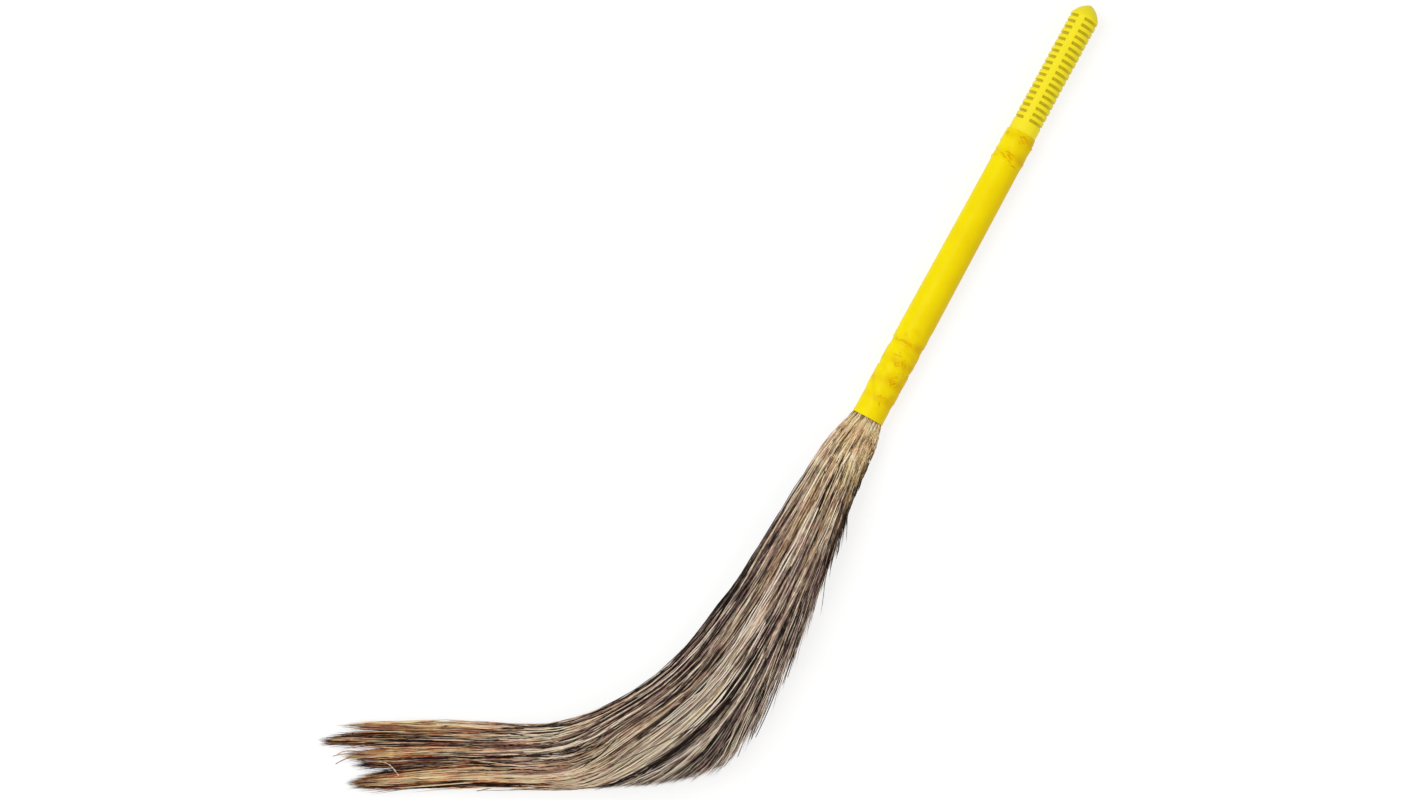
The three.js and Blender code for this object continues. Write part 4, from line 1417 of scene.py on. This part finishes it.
class BROOM_OT_inner_pieces(bpy.types.Operator):
    """Finishes the pipe, the twine and the peg that the handle hides"""

    bl_idname = "broom.inner_pieces"
    bl_label = "Inner pieces"

    def execute(self, context):
        pipe, twine, peg = (
            rough_stock(name, linear(colour), linear(dark), grain_mm)
            for name, colour, dark, grain_mm in (
                ("polypropylene pipe extruded matt yellow", "#ecd230", "#d8bb1e", 12.0),
                ("jute twine twisted natural", "#d9c79a", "#a58c5c", 0.8),
                ("bamboo peg whittled pale", "#c9a56c", "#96703d", 2.5),
            ))
        looks = {"handle_pipe": pipe, "stem_peg": peg, **{node: twine for node in TWINES}}
        for node, material in looks.items():
            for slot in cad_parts[node].material_slots:
                slot.link = "OBJECT"
                slot.material = material
        return {"FINISHED"}


# Stage, in metres: the floor's half side, how strongly its paper glows where it is seen directly,
# how strongly the room lights the broom where it shows at 1, the lamps' names, places, sides,
# powers and colours, and the camera's height above the handle's axis
FLOOR_HALF_SIDE = 12.0
PAPER_GLOW = 0.76
ROOM_LIGHT = 0.5
LAMPS = (
    ("key", (-1.1, 0.5, 2.0), 1.5, 28.0, "#ffffff"),
    ("fill", (1.2, -0.8, 1.6), 1.6, 7.0, "#fff6e6"),
)
LENS_DISTANCE = 2.07
SENSOR_MM = 36


def seen_directly(tree):
    """1 for rays from the camera and for those that gloss or glass sends on, and else 0."""
    rays = add_node(tree, "ShaderNodeLightPath").outputs
    shown = rays["Is Camera Ray"]
    for ray in ("Is Glossy Ray", "Is Transmission Ray"):
        shown = add_node(tree, "ShaderNodeMath", {0: shown, 1: rays[ray]}, operation="MAXIMUM")
    return shown


class BROOM_OT_stage(bpy.types.Operator):
    """Sets the pale floor, the soft light and the camera straight above the broom"""

    bl_idname = "broom.stage"
    bl_label = "Stage"

    def execute(self, context):
        scene = context.scene
        scene.view_settings.view_transform = "Standard"
        self.add_floor(scene)
        self.add_room(scene)
        self.add_lamps(scene)
        self.add_camera(scene)
        return {"FINISHED"}

    def add_floor(self, scene):
        """Matt white paper, which shows near white to the camera and keeps the broom's shadow."""
        material, tree = new_material("paper backdrop matt white")
        paper = add_node(tree, "ShaderNodeBsdfDiffuse", {"Color": linear("#f4f4f4")})
        bright = add_node(tree, "ShaderNodeEmission", {
            "Color": linear("#ffffff"), "Strength": PAPER_GLOW})
        half = add_node(tree, "ShaderNodeBsdfDiffuse", {"Color": linear("#949494")})
        lit = add_node(tree, "ShaderNodeAddShader", {0: bright, 1: half})
        mix = add_node(tree, "ShaderNodeMixShader", {0: seen_directly(tree), 1: paper, 2: lit})
        add_node(tree, "ShaderNodeOutputMaterial", {"Surface": mix})
        mesh = bpy.data.meshes.new("floor")
        corners = [(-1, -1), (1, -1), (1, 1), (-1, 1)]
        mesh.from_pydata([(x * FLOOR_HALF_SIDE, y * FLOOR_HALF_SIDE, 0) for x, y in corners], [],
                         [range(len(corners))])
        mesh.materials.append(material)
        floor = bpy.data.objects.new("floor", mesh)
        scene.collection.objects.link(floor)

    def add_room(self, scene):
        """A white room, which lights the broom at half the strength that it shows."""
        world = bpy.data.worlds.new("soft white room")
        world.use_nodes = True
        tree = world.node_tree
        tree.nodes.clear()
        strength = add_node(tree, "ShaderNodeMapRange", {
            "Value": seen_directly(tree), "To Min": ROOM_LIGHT, "To Max": 1.0})
        sky = add_node(tree, "ShaderNodeBackground", {
            "Color": linear("#ffffff"), "Strength": strength})
        add_node(tree, "ShaderNodeOutputWorld", {"Surface": sky})
        scene.world = world

    def add_lamps(self, scene):
        """Two soft square lamps that point at the middle of the broom."""
        for name, place, side, power, colour in LAMPS:
            lamp = bpy.data.lights.new(name, "AREA")
            lamp.size = side
            lamp.energy = power
            lamp.color = linear(colour)[:3]
            holder = bpy.data.objects.new(name, lamp)
            holder.location = place
            holder.rotation_euler = (-Vector(place)).to_track_quat("-Z", "Y").to_euler()
            scene.collection.objects.link(holder)

    def add_camera(self, scene):
        """A camera that looks straight down on the middle of the photograph."""
        camera = bpy.data.cameras.new("camera")
        camera.sensor_width = SENSOR_MM
        camera.lens = SENSOR_MM * LENS_DISTANCE / (PHOTO_SIZE[0] * PIXEL)
        holder = bpy.data.objects.new("camera", camera)
        right = (PHOTO_SIZE[0] / 2 - PHOTO_NECK[0]) * PIXEL
        up = (PHOTO_NECK[1] - PHOTO_SIZE[1] / 2) * PIXEL
        holder.location = HANDLE.origin + Vector((right, up, LENS_DISTANCE))
        scene.collection.objects.link(holder)
        scene.camera = holder


class BROOM_PT_build(bpy.types.Panel):
    """Lists the steps that finish the broom, in their order"""

    bl_label = "Hand Broom"
    bl_idname = "BROOM_PT_build"
    bl_space_type = "VIEW_3D"
    bl_region_type = "UI"
    bl_category = "Hand Broom"

    def draw(self, context):
        for operator in OPERATORS:
            self.layout.operator(operator.bl_idname)
        for group in (context.scene.broom_handle, context.scene.broom_grass):
            for name in group.bl_rna.properties.keys():
                if name not in ("rna_type", "name"):
                    self.layout.prop(group, name)


OPERATORS = (
    BROOM_OT_stage,
    BROOM_OT_grip_cap,
    BROOM_OT_sleeve,
    BROOM_OT_grass,
    BROOM_OT_inner_pieces,
)
CLASSES = (BROOM_PG_handle, BROOM_PG_grass, *OPERATORS, BROOM_PT_build)


def register():
    for item in CLASSES:
        bpy.utils.register_class(item)
    bpy.types.Scene.broom_handle = bpy.props.PointerProperty(type=BROOM_PG_handle)
    bpy.types.Scene.broom_grass = bpy.props.PointerProperty(type=BROOM_PG_grass)


def unregister():
    del bpy.types.Scene.broom_grass
    del bpy.types.Scene.broom_handle
    for item in reversed(CLASSES):
        bpy.utils.unregister_class(item)


def main():
    """Builds the stage and the pieces."""
    register()
    bpy.ops.broom.stage()
    bpy.ops.broom.grip_cap()
    bpy.ops.broom.sleeve()
    bpy.ops.broom.grass()
    bpy.ops.broom.inner_pieces()


if __name__ == "__main__":
    main()
